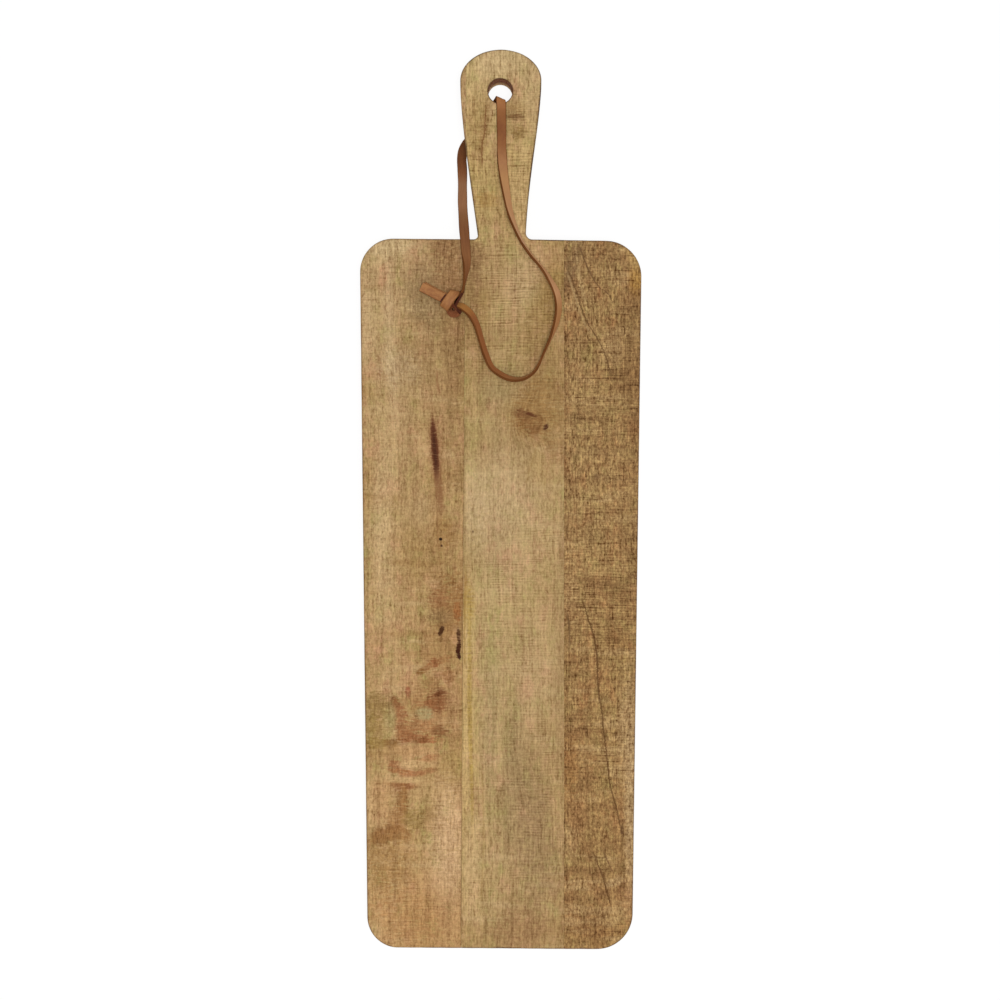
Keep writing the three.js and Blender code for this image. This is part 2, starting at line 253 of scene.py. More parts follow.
def sweepStrip(name, stations, material, strip, stepLength, seed):
    # Each section stands across the route: its width along the given way, its thickness square to it
    along, route = smoothRoute(stations, stepLength, strip["spanSteps"])
    middle, way = route[:, :3], route[:, 3:]
    heading = np.gradient(middle, along, axis=0)
    heading /= np.linalg.norm(heading, axis=1)[:, None]
    across = way - heading * np.einsum("ij,ij->i", way, heading)[:, None]
    across /= np.linalg.norm(across, axis=1)[:, None]
    normal = np.cross(across, heading)
    width, depth = stripSection(strip).T
    phase = np.random.default_rng(seed).uniform(0, 2 * math.pi, 3)
    firstWave, secondWave = strip["cutWaves"]
    cut = np.sin(along / firstWave + phase[0]) + strip["secondCut"] * np.sin(along / secondWave + phase[1])
    side = width * (1 + strip["handCut"] * cut)[:, None]
    bow = strip["cupping"] * (1 - (width / (strip["width"] / 2)) ** 2)
    drift = 1 + strip["cuppingDrift"] * np.sin(along / strip["cuppingWave"] + phase[2])
    lift = depth - bow * drift[:, None]
    points = middle[:, None] + side[..., None] * across[:, None] + lift[..., None] * normal[:, None]
    flatPoints = points.reshape(-1, 3) * mm
    laidFlat = np.stack(np.broadcast_arrays(along[:, None], side, depth), -1)
    faces = faceOutwards(flatPoints, tubeFaces(len(along), len(width)))
    fields = {"strap": laidFlat.reshape(-1, 3)}
    piece = buildMesh(name, flatPoints, faces, material, fields, strip["sharpAngle"])
    return piece, middle * mm, along[-1] * mm


# Node trees

def toneOf(red, green, blue):
    # A screen colour, 0 to 255, as the linear colour that nodes work in
    screen = np.array([red, green, blue]) / 255
    linear = np.where(screen <= 0.04045, screen / 12.92, ((screen + 0.055) / 1.055) ** 2.4)
    return (*linear.tolist(), 1.0)


def addNode(tree, kind, inputs=None, **settings):
    # Inputs are keyed by socket; a value is either another node's socket or a constant
    made = tree.nodes.new(kind)
    for setting, value in settings.items():
        setattr(made, setting, value)
    for socket, value in (inputs or {}).items():
        if isinstance(value, bpy.types.NodeSocket):
            tree.links.new(value, made.inputs[socket])
        else:
            made.inputs[socket].default_value = value
    return made


def calc(tree, operation, *values, clamp=False):
    inputs = dict(enumerate(values))
    return addNode(tree, "ShaderNodeMath", inputs, operation=operation, use_clamp=clamp).outputs[0]


def plus(tree, first, second):
    return calc(tree, "ADD", first, second)


def minus(tree, first, second):
    return calc(tree, "SUBTRACT", first, second)


def times(tree, first, second, clamp=False):
    return calc(tree, "MULTIPLY", first, second, clamp=clamp)


def timesPlus(tree, first, second, third):
    return calc(tree, "MULTIPLY_ADD", first, second, third)


def between(tree, value, low, high, toLow=0.0, toHigh=1.0, smooth=True):
    # Runs from toLow to toHigh as the value goes from low to high, and stays there past them
    inputs = {"Value": value, "From Min": low, "From Max": high, "To Min": toLow, "To Max": toHigh}
    kind = "SMOOTHSTEP" if smooth else "LINEAR"
    return addNode(tree, "ShaderNodeMapRange", inputs, interpolation_type=kind).outputs[0]


def stretched(tree, vector, fineness, shift=(0, 0, 0)):
    inputs = {0: vector, 1: fineness, 2: shift}
    return addNode(tree, "ShaderNodeVectorMath", inputs, operation="MULTIPLY_ADD").outputs[0]


def noiseOf(tree, vector, fineness, detail, roughness, bend, shift):
    inputs = {"Vector": stretched(tree, vector, fineness, shift), "Scale": 1.0, "Detail": detail,
              "Roughness": roughness, "Distortion": bend}
    return addNode(tree, "ShaderNodeTexNoise", inputs).outputs[0]


def blendOf(tree, factor, first, second, mode="MIX"):
    inputs = {0: factor, 6: first, 7: second}
    return addNode(tree, "ShaderNodeMix", inputs, data_type="RGBA", blend_type=mode).outputs[2]


def mixOf(tree, factor, first, second):
    # The same for plain numbers
    return addNode(tree, "ShaderNodeMix", {0: factor, 2: first, 3: second}, data_type="FLOAT").outputs[0]


def rampOf(tree, value, places, colours):
    # A colour that runs through the given colours as the value goes from the first place to the last
    first, last = places[0], places[-1]
    made = addNode(tree, "ShaderNodeValToRGB", {0: between(tree, value, first, last, smooth=False)})
    ramp = made.color_ramp
    while len(ramp.elements) < len(places):
        ramp.elements.new(0.5)
    for element, place, colour in zip(ramp.elements, places, colours):
        element.position = (place - first) / (last - first)
        element.color = colour
    return made.outputs[0]


def toneRun(tree, value, tones):
    # A colour that follows a few (place, screen colour) pairs
    places, colours = zip(*tones)
    return rampOf(tree, value, places, [toneOf(*colour) for colour in colours])


def levelRun(tree, value, levels):
    # A number that follows a few (place, level) pairs
    places, heights = zip(*levels)
    most = max(heights)
    return times(tree, rampOf(tree, value, places, [(height / most,) * 3 + (1,) for height in heights]), most)


def newTree(name):
    material = bpy.data.materials.new(name)
    material.use_nodes = True
    tree = material.node_tree
    tree.nodes.clear()
    return material, tree


def addShader(tree, inputs, specular):
    inputs = dict(inputs, **{"Specular IOR Level": specular})
    shader = addNode(tree, "ShaderNodeBsdfPrincipled", inputs)
    addNode(tree, "ShaderNodeOutputMaterial", {"Surface": shader.outputs[0]})


def attributeOf(tree, name, output):
    return addNode(tree, "ShaderNodeAttribute", attribute_name=name).outputs[output]


def objectMillimetres(tree):
    place = addNode(tree, "ShaderNodeTexCoord").outputs["Object"]
    return addNode(tree, "ShaderNodeVectorMath", {0: place, "Scale": 1 / mm}, operation="SCALE").outputs[0]


def partsOf(tree, vector):
    return tuple(addNode(tree, "ShaderNodeSeparateXYZ", {0: vector}).outputs)


def bumpOf(tree, height, reach, strength, under=None):
    # The height runs about 0 to 1 and stands for that reach in metres
    inputs = {"Height": height, "Distance": reach, "Strength": strength}
    if under is not None:
        inputs["Normal"] = under
    return addNode(tree, "ShaderNodeBump", inputs).outputs[0]


# Leather

leatherLook = {
    "grain": toneOf(176, 122, 72),
    "grainDeep": toneOf(138, 84, 44),
    "flesh": toneOf(148, 100, 58),
    "fleshDeep": toneOf(118, 74, 40),
    "edge": toneOf(138, 88, 46),
    "edgeWorn": toneOf(164, 112, 66),
    "rub": toneOf(206, 154, 104),
    "rubShare": 0.45,
    "wearAndLight": (),
    "wearAndLightShare": 0.7,
    "fleshWearAndLight": (),
    "fleshWearAndLightShare": 0.6,
    "edgeBand": 2.35,
    "edgeBlur": 0.12,
    "pebbleFineness": 3.4,
    "pebble": (0.00006, 0.6),
    "creases": (0.00012, 0.5),
    "fibres": (0.00009, 0.8),
    "cutRoughness": 0.86,
    "specular": 0.22,
}

# How fine each noise is along the strap's length, width and thickness, its detail, roughness, bend and shift
leatherNoise = {
    "drift": ((0.06, 0.12, 0.2), 3, 0.5, 0, (0, 0, 0)),
    "mottle": ((0.45, 0.8, 0.8), 4, 0.6, 0, (31, 7, 3)),
    "streaks": ((0.12, 2.2, 1.0), 3, 0.6, 0, (3, 19, 5)),
    "rubs": ((0.8, 1.6, 1.6), 5, 0.65, 0, (11, 2, 9)),
    "creases": ((1.3, 0.35, 0.6), 3, 0.55, 0, (5, 5, 1)),
    "fibres": ((1.4, 5.5, 3.0), 4, 0.7, 0, (17, 0, 4)),
}

# From and to which value each share runs, and the levels there where they aren't 0 and 1
leatherRange = {
    "shade": (0.32, 0.66), "flesh": (0.3, 0.7), "rubs": (0.6, 0.78), "edgeWear": (0.45, 0.75),
    "gloss": (0.3, 0.7, 0.52, 0.66),
}


def leatherMaterial(name, look):
    # The strap field is the leather laid flat: length, width and thickness in millimetres
    material, tree = newTree(name)
    strap = attributeOf(tree, "strap", "Vector")
    along, across, depth = partsOf(tree, strap)
    noise = {key: noiseOf(tree, strap, *recipe) for key, recipe in leatherNoise.items()}
    band, blur = look["edgeBand"], look["edgeBlur"]
    fleshSide = between(tree, depth, -blur, blur)
    cutSide = between(tree, calc(tree, "ABSOLUTE", across), band - blur, band + blur)
    noise["shade"] = timesPlus(tree, noise["mottle"], 0.5, times(tree, noise["drift"], 0.5))
    sources = {"flesh": "streaks", "edgeWear": "streaks", "gloss": "mottle"}
    share = {key: between(tree, noise[sources.get(key, key)], *span) for key, span in leatherRange.items()}
    grain = blendOf(tree, share["shade"], look["grainDeep"], look["grain"])
    grain = blendOf(tree, times(tree, share["rubs"], look["rubShare"]), grain, look["rub"])
    flesh = blendOf(tree, share["flesh"], look["fleshDeep"], look["flesh"])
    if look["wearAndLight"]:
        grain = blendOf(tree, look["wearAndLightShare"], grain, toneRun(tree, along, look["wearAndLight"]))
        flesh = blendOf(tree, look["fleshWearAndLightShare"], flesh, toneRun(tree, along, look["fleshWearAndLight"]))
    edgeTone = blendOf(tree, share["edgeWear"], look["edge"], look["edgeWorn"])
    colour = blendOf(tree, cutSide, blendOf(tree, fleshSide, grain, flesh), edgeTone)
    pebblePlace = stretched(tree, strap, (look["pebbleFineness"],) * 3)
    cells = addNode(tree, "ShaderNodeTexVoronoi", {"Vector": pebblePlace, "Scale": 1.0}, feature="SMOOTH_F1")
    roughSide = calc(tree, "MAXIMUM", fleshSide, cutSide)
    relief = bumpOf(tree, cells.outputs[0], *look["pebble"])
    relief = bumpOf(tree, noise["creases"], *look["creases"], relief)
    relief = bumpOf(tree, times(tree, noise["fibres"], roughSide), *look["fibres"], relief)
    rough = mixOf(tree, roughSide, share["gloss"], look["cutRoughness"])
    addShader(tree, {"Base Color": colour, "Roughness": rough, "Normal": relief}, look["specular"])
    return material


# Along the strip, from the knot round the loop and through the hole, its tone changes: partly handling,
# partly painted light and shade
stripLook = dict(
    leatherLook, edge=toneOf(98, 54, 14), edgeWorn=toneOf(122, 74, 32),
    # Painted light: the tones from 12 to 84 and from 118 to 172 are raised where the loop's limbs stand
    # tilted and get less light
    wearAndLight=((0, (176, 126, 64)), (12, (184, 126, 72)), (40, (182, 120, 72)), (66, (178, 118, 70)),
          (84, (186, 128, 86)), (108, (182, 130, 82)), (118, (210, 158, 114)), (153, (216, 166, 122)),
          (172, (200, 148, 104)), (188, (186, 138, 90)), (198, (168, 118, 78)), (208, (130, 76, 36)),
          (216, (112, 56, 18)), (225, (126, 72, 28)), (234, (174, 112, 64)), (258, (128, 84, 52)),
          # Painted shadow: from 279 to 290 the strip is darkened where it comes out from under the handle
          (279, (86, 46, 22)), (290, (124, 80, 48)), (301, (142, 98, 64)), (314, (128, 86, 54)),
          (323, (112, 70, 40)), (333, (98, 58, 32)), (345, (112, 68, 38)), (365, (126, 78, 42))),
    fleshWearAndLight=((0, (200, 142, 70)), (10, (186, 126, 62)), (15, (164, 98, 54)), (50, (166, 100, 54)),
               # Painted shadow on the flesh side too, from 275 to 290, where the strip comes out from under
               # the handle
               (62, (176, 124, 76)), (255, (150, 96, 56)), (275, (72, 32, 12)), (284, (92, 42, 16)),
               (293, (132, 78, 48)), (301, (158, 114, 82)), (314, (156, 110, 78)), (321, (130, 88, 54)),
               (328, (114, 68, 40)), (335, (114, 68, 40)), (343, (136, 88, 52)), (365, (140, 84, 46))))
# Painted shade: the lobe's leather is darkened throughout, for the turn that stands on edge in the knot's
# shade
lobeShadeLook = dict(
    leatherLook, grain=toneOf(150, 92, 58), grainDeep=toneOf(104, 54, 28), flesh=toneOf(124, 70, 42),
    fleshDeep=toneOf(88, 42, 22), edge=toneOf(84, 36, 16), rub=toneOf(170, 112, 82))
# Painted shade: near-black leather for the crown and the turn under the wrap, standing in for the shadow in
# the knot's pocket
pocketShadeLook = dict(
    leatherLook, grain=toneOf(92, 42, 20), grainDeep=toneOf(62, 24, 10), flesh=toneOf(84, 38, 18),
    fleshDeep=toneOf(58, 22, 10), edge=toneOf(66, 26, 10), edgeWorn=toneOf(96, 48, 24),
    rub=toneOf(120, 62, 34))
stripLeather = leatherMaterial("thongLeather", stripLook)
leather = leatherMaterial("tannedLeather", leatherLook)
lobeShadeLeather = leatherMaterial("shadedLobeLeather", lobeShadeLook)
pocketShadeLeather = leatherMaterial("shadedLeather", pocketShadeLook)

thongPiece, thongPath, thongLength = sweepStrip(
    "leather_thong", frontRoute + holeRoute + backRoute, stripLeather, thong, thong["stepLength"], seed=3)
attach(thongPiece, rootBody)
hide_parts("thong_front_run", "thong_hole_bend", "thong_back_run")

# The two ends lie one on the other where they leave the knot, both with their width along one way
endWay = (-0.478, -0.878, 0)
upperEnd = [(*place, *endWay) for place in (
    (-25.6, 109.6, 18.9), (-28.0, 110.4, 18.7), (-31.0, 111.3, 18.4),
    (-35.0, 113.1, 18.1), (-39.5, 115.5, 17.8), (-44.0, 117.8, 17.7))]
lowerEnd = [(*place, *endWay) for place in (
    (-26.4, 110.2, 17.0), (-29.0, 111.5, 16.4), (-33.6, 113.5, 16.0),
    (-38.6, 116.0, 16.0), (-43.0, 118.3, 16.0))]

# The knot: the wrap that goes over the ends, the turn under it, the lobe and the fold beside it
wrapTurn = [
    (-26.6, 113.2, 16.3, 0.97, -0.2, 0),
    (-25.6, 114.3, 16.6, 0.97, -0.2, 0),
    (-25.4, 114.9, 18.3, 0.97, -0.2, 0),
    (-25.7, 114.0, 20.1, 0.95, -0.3, 0),
    (-28.1, 110.6, 21.0, 0.82, -0.57, 0),
    (-30.6, 107.0, 20.1, 0.8, -0.6, 0),
    (-31.2, 106.2, 18.4, 0.8, -0.6, 0),
    (-30.7, 106.8, 16.7, 0.8, -0.6, 0),
    (-29.6, 108.2, 16.3, 0.8, -0.6, 0),
]
lobeTurn = [
    (-28.6, 105.8, 17.0, 0.5, 0.3, 0.8),
    (-28.2, 104.2, 17.1, 0.35, 0.45, 0.8),
    (-27.0, 102.9, 17.6, 0.05, 0.55, 0.82),
    (-24.6, 103.0, 18.0, -0.35, 0.45, 0.82),
    (-23.7, 104.9, 18.2, -0.55, 0.15, 0.82),
    (-25.2, 107.0, 18.5, -0.5, -0.15, 0.85),
    (-27.5, 108.6, 18.3, -0.4, -0.35, 0.85),
]
crownTurn = [
    (-30.0, 112.9, 18.1, -0.1, 0.1, 0.99),
    (-31.0, 111.6, 18.2, -0.1, 0.1, 0.99),
    (-32.0, 110.2, 18.2, -0.1, 0.1, 0.99),
    (-33.0, 108.9, 18.1, -0.1, 0.1, 0.99),
]
underTurn = [
    (-21.3, 115.2, 17.9, 0.21, -0.14, 0.97),
    (-22.4, 113.0, 18.1, 0.21, -0.14, 0.97),
    (-23.6, 110.8, 18.1, 0.21, -0.14, 0.97),
    (-24.8, 108.4, 18.1, 0.2, -0.1, 0.97),
    (-25.2, 106.6, 18.0, 0.1, 0, 0.99),
    (-24.4, 105.2, 18.0, 0, 0, 1),
    (-23.1, 103.9, 17.9, 0, 0, 1),
    (-22.1, 102.9, 17.8, 0, 0, 1),
]
# The lobe, the crown and the turn under the wrap take the painted-shade leathers
knotTurns = {
    "thong_end_upper": (upperEnd, leather, "width", 5),
    "thong_end_lower": (lowerEnd, leather, "width", 6),
    "knot_wrap": (wrapTurn, leather, "wrapWidth", 10),
    "knot_lobe": (lobeTurn, lobeShadeLeather, "width", 11),
    "knot_crown": (crownTurn, pocketShadeLeather, "foldWidth", 12),
    "knot_under": (underTurn, pocketShadeLeather, "width", 13),
}
for turnName, (turnRoute, turnLeather, turnWidth, turnSeed) in knotTurns.items():
    turnStrip = dict(thong, width=thong[turnWidth])
    turnPiece, _, _ = sweepStrip(turnName, turnRoute, turnLeather, turnStrip, thong["knotStep"], turnSeed)
    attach(turnPiece, rootBody)
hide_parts("thong_knot")
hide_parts("thong_tail_upper")
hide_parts("thong_tail_lower")
print("thong and knot are tied,", round(thongLength, 4), "m of strip outside the knot")


# Board: three planks glued side by side, and a sliver of the left one's wood beside the handle's head

board = {
    "length": 500,
    "thickness": 15,
    "topWidth": 156.8,
    "bottomWidth": 147,
    "bottomShift": -0.5,
    "bottomLeftLift": 1.2,
    "rightShoulderDrop": 1.1,
    "leftShoulderRise": 0.6,
    "topLeftRadius": 18.4,
    "topRightRadius": 20,
    "bottomLeftRadius": 17.3,
    "bottomRightRadius": 20,
    "arris": 1.2,
    "arrisWear": 0.25,
    "handleLength": 105.4,
    "headWidth": 45.1,
    "headRise": 17.1,
    "headReach": 20,
    "neckWidth": 26.2,
    "neckShift": 0.7,
    "neckReach": 40,
    "leftNeckFlare": 0.139,
    "rightNeckFlare": 0.05,
    "leftNeckRadius": 2.2,
    "rightNeckRadius": 3.6,
    "relief": 2.0,
    "reliefRamp": 12,
    "reliefSetback": 3,
    "holeDiameter": 13.6,
    "holeToEnd": 23.2,
    "holeShift": -0.3,
    "holeEase": 0.3,
    "leftJointAtTop": 19.15,
    "leftJointAtBottom": 22.05,
    "rightJoint": 35.1,
    "glueLine": 0.1,
}
boardMesh = {
    "outlineStep": 0.8,
    "arcPoints": 40,
    "curvePoints": 80,
    "headPoints": 120,
    "rings": (0.0, 0.1, 0.3, 0.65, 1.2, 1.8),
    "holeRings": (0.0, 0.06, 0.2, 0.4, 0.62, 1.2),
    "holePoints": 84,
    "ringClear": 0.7,
    "glueClear": 0.35,
    "gridStep": 2.6,
    "fineStep": 0.5,
    "fineReach": 1.2,
    "fineClear": 0.6,
    "wallRows": 5,
    "faceDrop": 0.05,
    "calmReach": 3,
    "undulation": 0.05,
    "undulationWaves": (90, 47, 23, 31),
    "backShare": 0.4,
    "chatter": 0.035,
    "chatterPitch": 6.24,
    "chatterWaves": (70, 50, 120),
    "chatterSway": 3,
    "arrisWaves": (23, 11, 61),
    "arrisSeed": 21,
    "waveLean": (1, 0.45),
    "pitRound": 0.7,
    "sharpAngle": 38,
    "mergeDistance": 1e-5,
    "rimShare": 0.999,
    "groupSize": 2000,
}
halfLength = board["length"] / 2
shoulderY = halfLength - board["handleLength"]
headY = shoulderY + board["handleLength"] / 3
holeCentre = np.array([board["holeShift"], halfLength - board["holeToEnd"]])
holeRadius = board["holeDiameter"] / 2

# Pits and cracks that are cut into the face: x, y, half width, half length, turn in degrees, depth
facePits = [
    (-36.4, 27.3, 1.3, 14.5, 4.5, 0.4),
    (-34.7, 8.0, 0.8, 6.0, 4, 0.2),
    (-33.4, -22.0, 0.75, 0.75, 0, 0.9),
    (-32.8, -25.6, 0.45, 0.5, 0, 0.4),
    (-33.1, -72.9, 0.7, 2.4, -28, 0.5),
    (-23.5, -75.5, 0.8, 3.6, 3, 0.6),
    (-23.4, -83.5, 1.0, 4.2, -4, 0.8),
    (26.0, 40.0, 1.0, 1.8, -40, 0.3),
    (14.8, 47.9, 1.6, 0.7, 10, 0.2),
    (-15.5, -17.8, 0.5, 0.6, 0, 0.4),
    (7.6, 115.8, 0.5, 0.8, 0, 0.3),
]


def unit(vector):
    return vector / np.linalg.norm(vector, axis=-1, keepdims=True)


def cornerArc(before, corner, after, radius):
    # A rounded corner: points on the circle that touches both sides
    before, corner, after = (np.array(place, float) for place in (before, corner, after))
    inward, onward = unit(before - corner), unit(after - corner)
    half = math.acos(float(inward @ onward)) / 2
    centre = corner + unit(inward + onward) * radius / math.sin(half)
    ends = corner + np.stack([inward, onward]) * radius / math.tan(half) - centre
    first, last = np.arctan2(ends[:, 1], ends[:, 0])
    sweep = (last - first + math.pi) % (2 * math.pi) - math.pi
    angles = first + sweep * np.linspace(0, 1, boardMesh["arcPoints"])
    return centre + radius * np.stack([np.cos(angles), np.sin(angles)], 1)


def sideCurve(*places):
    # A cubic between two points that leaves and arrives along its two pulls
    start, startPull, endPull, end = (np.array(place, float) for place in places)
    t = np.linspace(0, 1, boardMesh["curvePoints"])[:, None]
    return ((1 - t)**3 * start + 3 * (1 - t)**2 * t * startPull
            + 3 * (1 - t) * t**2 * endPull + t**3 * end)


def boardOutline(size, step):
    # The board's edge, anticlockwise from the bottom right corner, as points at an even step
    bottomLeft = (size["bottomShift"] - size["bottomWidth"] / 2, size["bottomLeftLift"] - halfLength)
    bottomRight = (size["bottomShift"] + size["bottomWidth"] / 2, -halfLength)
    topRight = (size["topWidth"] / 2, shoulderY - size["rightShoulderDrop"])
    topLeft = (-size["topWidth"] / 2, shoulderY + size["leftShoulderRise"])
    neckRight = (size["neckShift"] + size["neckWidth"] / 2, shoulderY)
    neckLeft = (size["neckShift"] - size["neckWidth"] / 2, shoulderY)
    reach = size["neckReach"]
    rightSide = (neckRight[0] + size["rightNeckFlare"] * reach, shoulderY + reach)
    leftSide = (neckLeft[0] - size["leftNeckFlare"] * reach, shoulderY + reach)
    headHalf = size["headWidth"] / 2
    headBase = halfLength - size["headRise"]
    headLow = headBase - size["headReach"]
    around = np.linspace(0, math.pi, boardMesh["headPoints"])[:, None]
    rightNeck = cornerArc(topRight, neckRight, rightSide, size["rightNeckRadius"])
    leftNeck = cornerArc(leftSide, neckLeft, topLeft, size["leftNeckRadius"])
    closed = np.vstack([
        cornerArc(bottomLeft, bottomRight, topRight, size["bottomRightRadius"]),
        cornerArc(bottomRight, topRight, neckRight, size["topRightRadius"]),
        rightNeck,
        sideCurve(rightNeck[-1], rightSide, (headHalf, headLow), (headHalf, headBase)),
        np.hstack([headHalf * np.cos(around), headBase + size["headRise"] * np.sin(around)]),
        sideCurve((-headHalf, headBase), (-headHalf, headLow), leftSide, leftNeck[0]),
        leftNeck,
        cornerArc(neckLeft, topLeft, bottomLeft, size["topLeftRadius"]),
        cornerArc(topLeft, bottomLeft, bottomRight, size["bottomLeftRadius"]),
    ])
    closed = np.vstack([closed, closed[:1]])
    along = lengthAlong(closed)
    even = np.linspace(0, along[-1], int(along[-1] / step), endpoint=False)
    return rowsAt(even, along, closed)


def insetRing(ring, distance):
    # Each point moves square to the line through its two neighbours, into the board
    line = unit(np.roll(ring, -1, 0) - np.roll(ring, 1, 0))
    return ring + distance * np.stack([-line[:, 1], line[:, 0]], 1)


def distanceTo(points, ring):
    # The shortest way from each point to the closed ring's line, taken a few points at a time
    way = np.roll(ring, -1, 0) - ring
    nearest = np.full(len(points), np.inf)
    for group in np.array_split(np.arange(len(points)), max(1, len(points) // boardMesh["groupSize"])):
        offset = points[group, None] - ring[None]
        share = np.clip(np.einsum("ijk,jk->ij", offset, way) / np.einsum("jk,jk->j", way, way), 0, 1)
        nearest[group] = np.linalg.norm(offset - share[..., None] * way, axis=2).min(1)
    return nearest


def insideOf(points, ring):
    # A point is inside when a line from it to the right crosses the ring an odd number of times
    crossings = np.zeros(len(points), int)
    for (x0, y0), (x1, y1) in zip(ring, np.roll(ring, -1, 0)):
        spans = (points[:, 1] >= y0) != (points[:, 1] >= y1)
        if y0 != y1:
            crossings += spans & (points[:, 0] < x0 + (points[:, 1] - y0) * (x1 - x0) / (y1 - y0))
    return crossings % 2 == 1


def leftJointX(y):
    share = (y + halfLength) / board["length"]
    return -(board["leftJointAtBottom"] + (board["leftJointAtTop"] - board["leftJointAtBottom"]) * share)


def easedDrop(distance, radius):
    # How far a rounded edge of that radius lies below the face, at a distance in from the edge
    inward = np.clip(distance, 0, radius)
    return radius - np.sqrt(np.maximum(radius**2 - (radius - inward)**2, 0))


def waves(points, seed, lengths):
    # A sum of sines in random directions: a smooth uneven surface, about -1 to 1
    draw = np.random.default_rng(seed)
    total = np.zeros(len(points))
    for length in lengths:
        way = unit(draw.normal(size=2) * boardMesh["waveLean"])
        total += np.sin(points @ way * 2 * math.pi / length + draw.uniform(0, 2 * math.pi))
    return total / len(lengths)


def pitDepth(points):
    depth = np.zeros(len(points))
    for x, y, halfWidth, halfLong, turn, deep in facePits:
        cosine, sine = math.cos(math.radians(turn)), math.sin(math.radians(turn))
        offX, offY = (points - (x, y)).T
        across = (offX * cosine + offY * sine) / halfWidth
        along = (offY * cosine - offX * sine) / halfLong
        depth = np.maximum(depth, deep * np.clip(1 - across**2 - along**2, 0, 1)**boardMesh["pitRound"])
    return depth


def gridPoints(low, high):
    # A hexagonal grid over the board, with a finer square one in its place at each pit
    step, fine = boardMesh["gridStep"], boardMesh["fineStep"]
    rows = np.arange(low[1], high[1], step * math.sqrt(0.75))
    x, y = np.meshgrid(np.arange(low[0], high[0], step), rows)
    x = x + (np.arange(len(rows)) % 2)[:, None] * step / 2
    grid = np.stack([x.ravel(), y.ravel()], 1)
    for x, y, halfWidth, halfLong, _, _ in facePits:
        reachX, reachY = halfWidth + boardMesh["fineReach"], halfLong + boardMesh["fineReach"]
        fineX, fineY = np.meshgrid(np.arange(x - reachX, x + reachX, fine),
                                   np.arange(y - reachY, y + reachY, fine))
        past = np.abs(grid - (x, y)) > np.array([reachX, reachY]) + boardMesh["fineClear"]
        grid = np.vstack([grid[past.any(axis=1)], np.stack([fineX.ravel(), fineY.ravel()], 1)])
    return grid


def planMesh():
    # One triangulation of the whole face: rings inside the edge and round the hole, the grid of points,
    # and both glue lines as edges that no triangle crosses
    outline = boardOutline(board, boardMesh["outlineStep"])
    rings = [outline] + [insetRing(outline, distance) for distance in boardMesh["rings"][1:]]
    turn = np.linspace(0, 2 * math.pi, boardMesh["holePoints"], endpoint=False)
    circle = np.stack([np.cos(turn), np.sin(turn)], 1)
    rings += [holeCentre + circle * (holeRadius + distance) for distance in boardMesh["holeRings"]]
    low, high = outline.min(0), outline.max(0)
    grid = gridPoints(low, high)
    top, bottom = high[1] + 1, low[1] - 1
    joints = []
    for side in (-board["glueLine"] / 2, board["glueLine"] / 2):
        joints.append([(leftJointX(bottom) + side, bottom), (leftJointX(top) + side, top)])
        joints.append([(board["rightJoint"] + side, bottom), (board["rightJoint"] + side, headY)])
    ringClear, glueClear = boardMesh["ringClear"], boardMesh["glueClear"]
    clear = distanceTo(grid, outline) > boardMesh["rings"][-1] + ringClear
    clear &= np.linalg.norm(grid - holeCentre, axis=1) > holeRadius + boardMesh["holeRings"][-1] + ringClear
    clear &= np.abs(grid[:, 0] - leftJointX(grid[:, 1])) > glueClear
    clear &= np.abs(grid[:, 0] - board["rightJoint"]) > glueClear
    points, edges = [], []
    for ring in rings:
        first = len(points)
        points += ring.tolist()
        edges += [(first + i, first + (i + 1) % len(ring)) for i in range(len(ring))]
    for joint in joints:
        edges.append((len(points), len(points) + 1))
        points += joint
    points += grid[clear & insideOf(grid, outline)].tolist()
    found = delaunay_2d_cdt(points, edges, [], 0, boardMesh["mergeDistance"], False)
    plan = np.array([tuple(place) for place in found[0]])
    return outline, plan, np.array([tuple(face) for face in found[2]])


def plankOf(centres):
    # Which plank a place belongs to: left, middle, right or the sliver beside the head, or -1 in the glue
    halfGlue = board["glueLine"] / 2
    fromLeft = centres[:, 0] - leftJointX(centres[:, 1])
    fromRight = centres[:, 0] - board["rightJoint"]
    onHead = centres[:, 1] > headY
    plank = np.full(len(centres), -1)
    plank[(fromLeft < -halfGlue) & ~onHead] = 0
    plank[(fromLeft < -halfGlue) & onHead] = 3
    plank[(fromLeft > halfGlue) & ((fromRight < -halfGlue) | onHead)] = 1
    plank[(fromRight > halfGlue) & ~onHead] = 2
    return plank


def faceHeights(flat, gap, hole, seed):
    # The heights of the sawn face and of the back at each place of the plan
    worn = board["arris"] + board["arrisWear"] * waves(flat, boardMesh["arrisSeed"], boardMesh["arrisWaves"])
    drop = easedDrop(gap, worn) + easedDrop(hole, board["holeEase"])
    calm = np.clip(np.minimum(gap, hole) / boardMesh["calmReach"], 0, 1)
    uneven = boardMesh["undulation"] * waves(flat, seed, boardMesh["undulationWaves"])
    sway = waves(flat, seed + 1, boardMesh["chatterWaves"]) * boardMesh["chatterSway"]
    chatter = boardMesh["chatter"] * np.sin(flat[:, 1] * 2 * math.pi / boardMesh["chatterPitch"] + sway)
    front = board["thickness"] - drop - pitDepth(flat) + calm * (uneven + chatter) - boardMesh["faceDrop"]
    rise = np.clip((flat[:, 1] - shoulderY - board["reliefSetback"]) / board["reliefRamp"], 0, 1)
    back = board["relief"] * rise + drop - boardMesh["backShare"] * calm * np.minimum(uneven, 0)
    return front, back


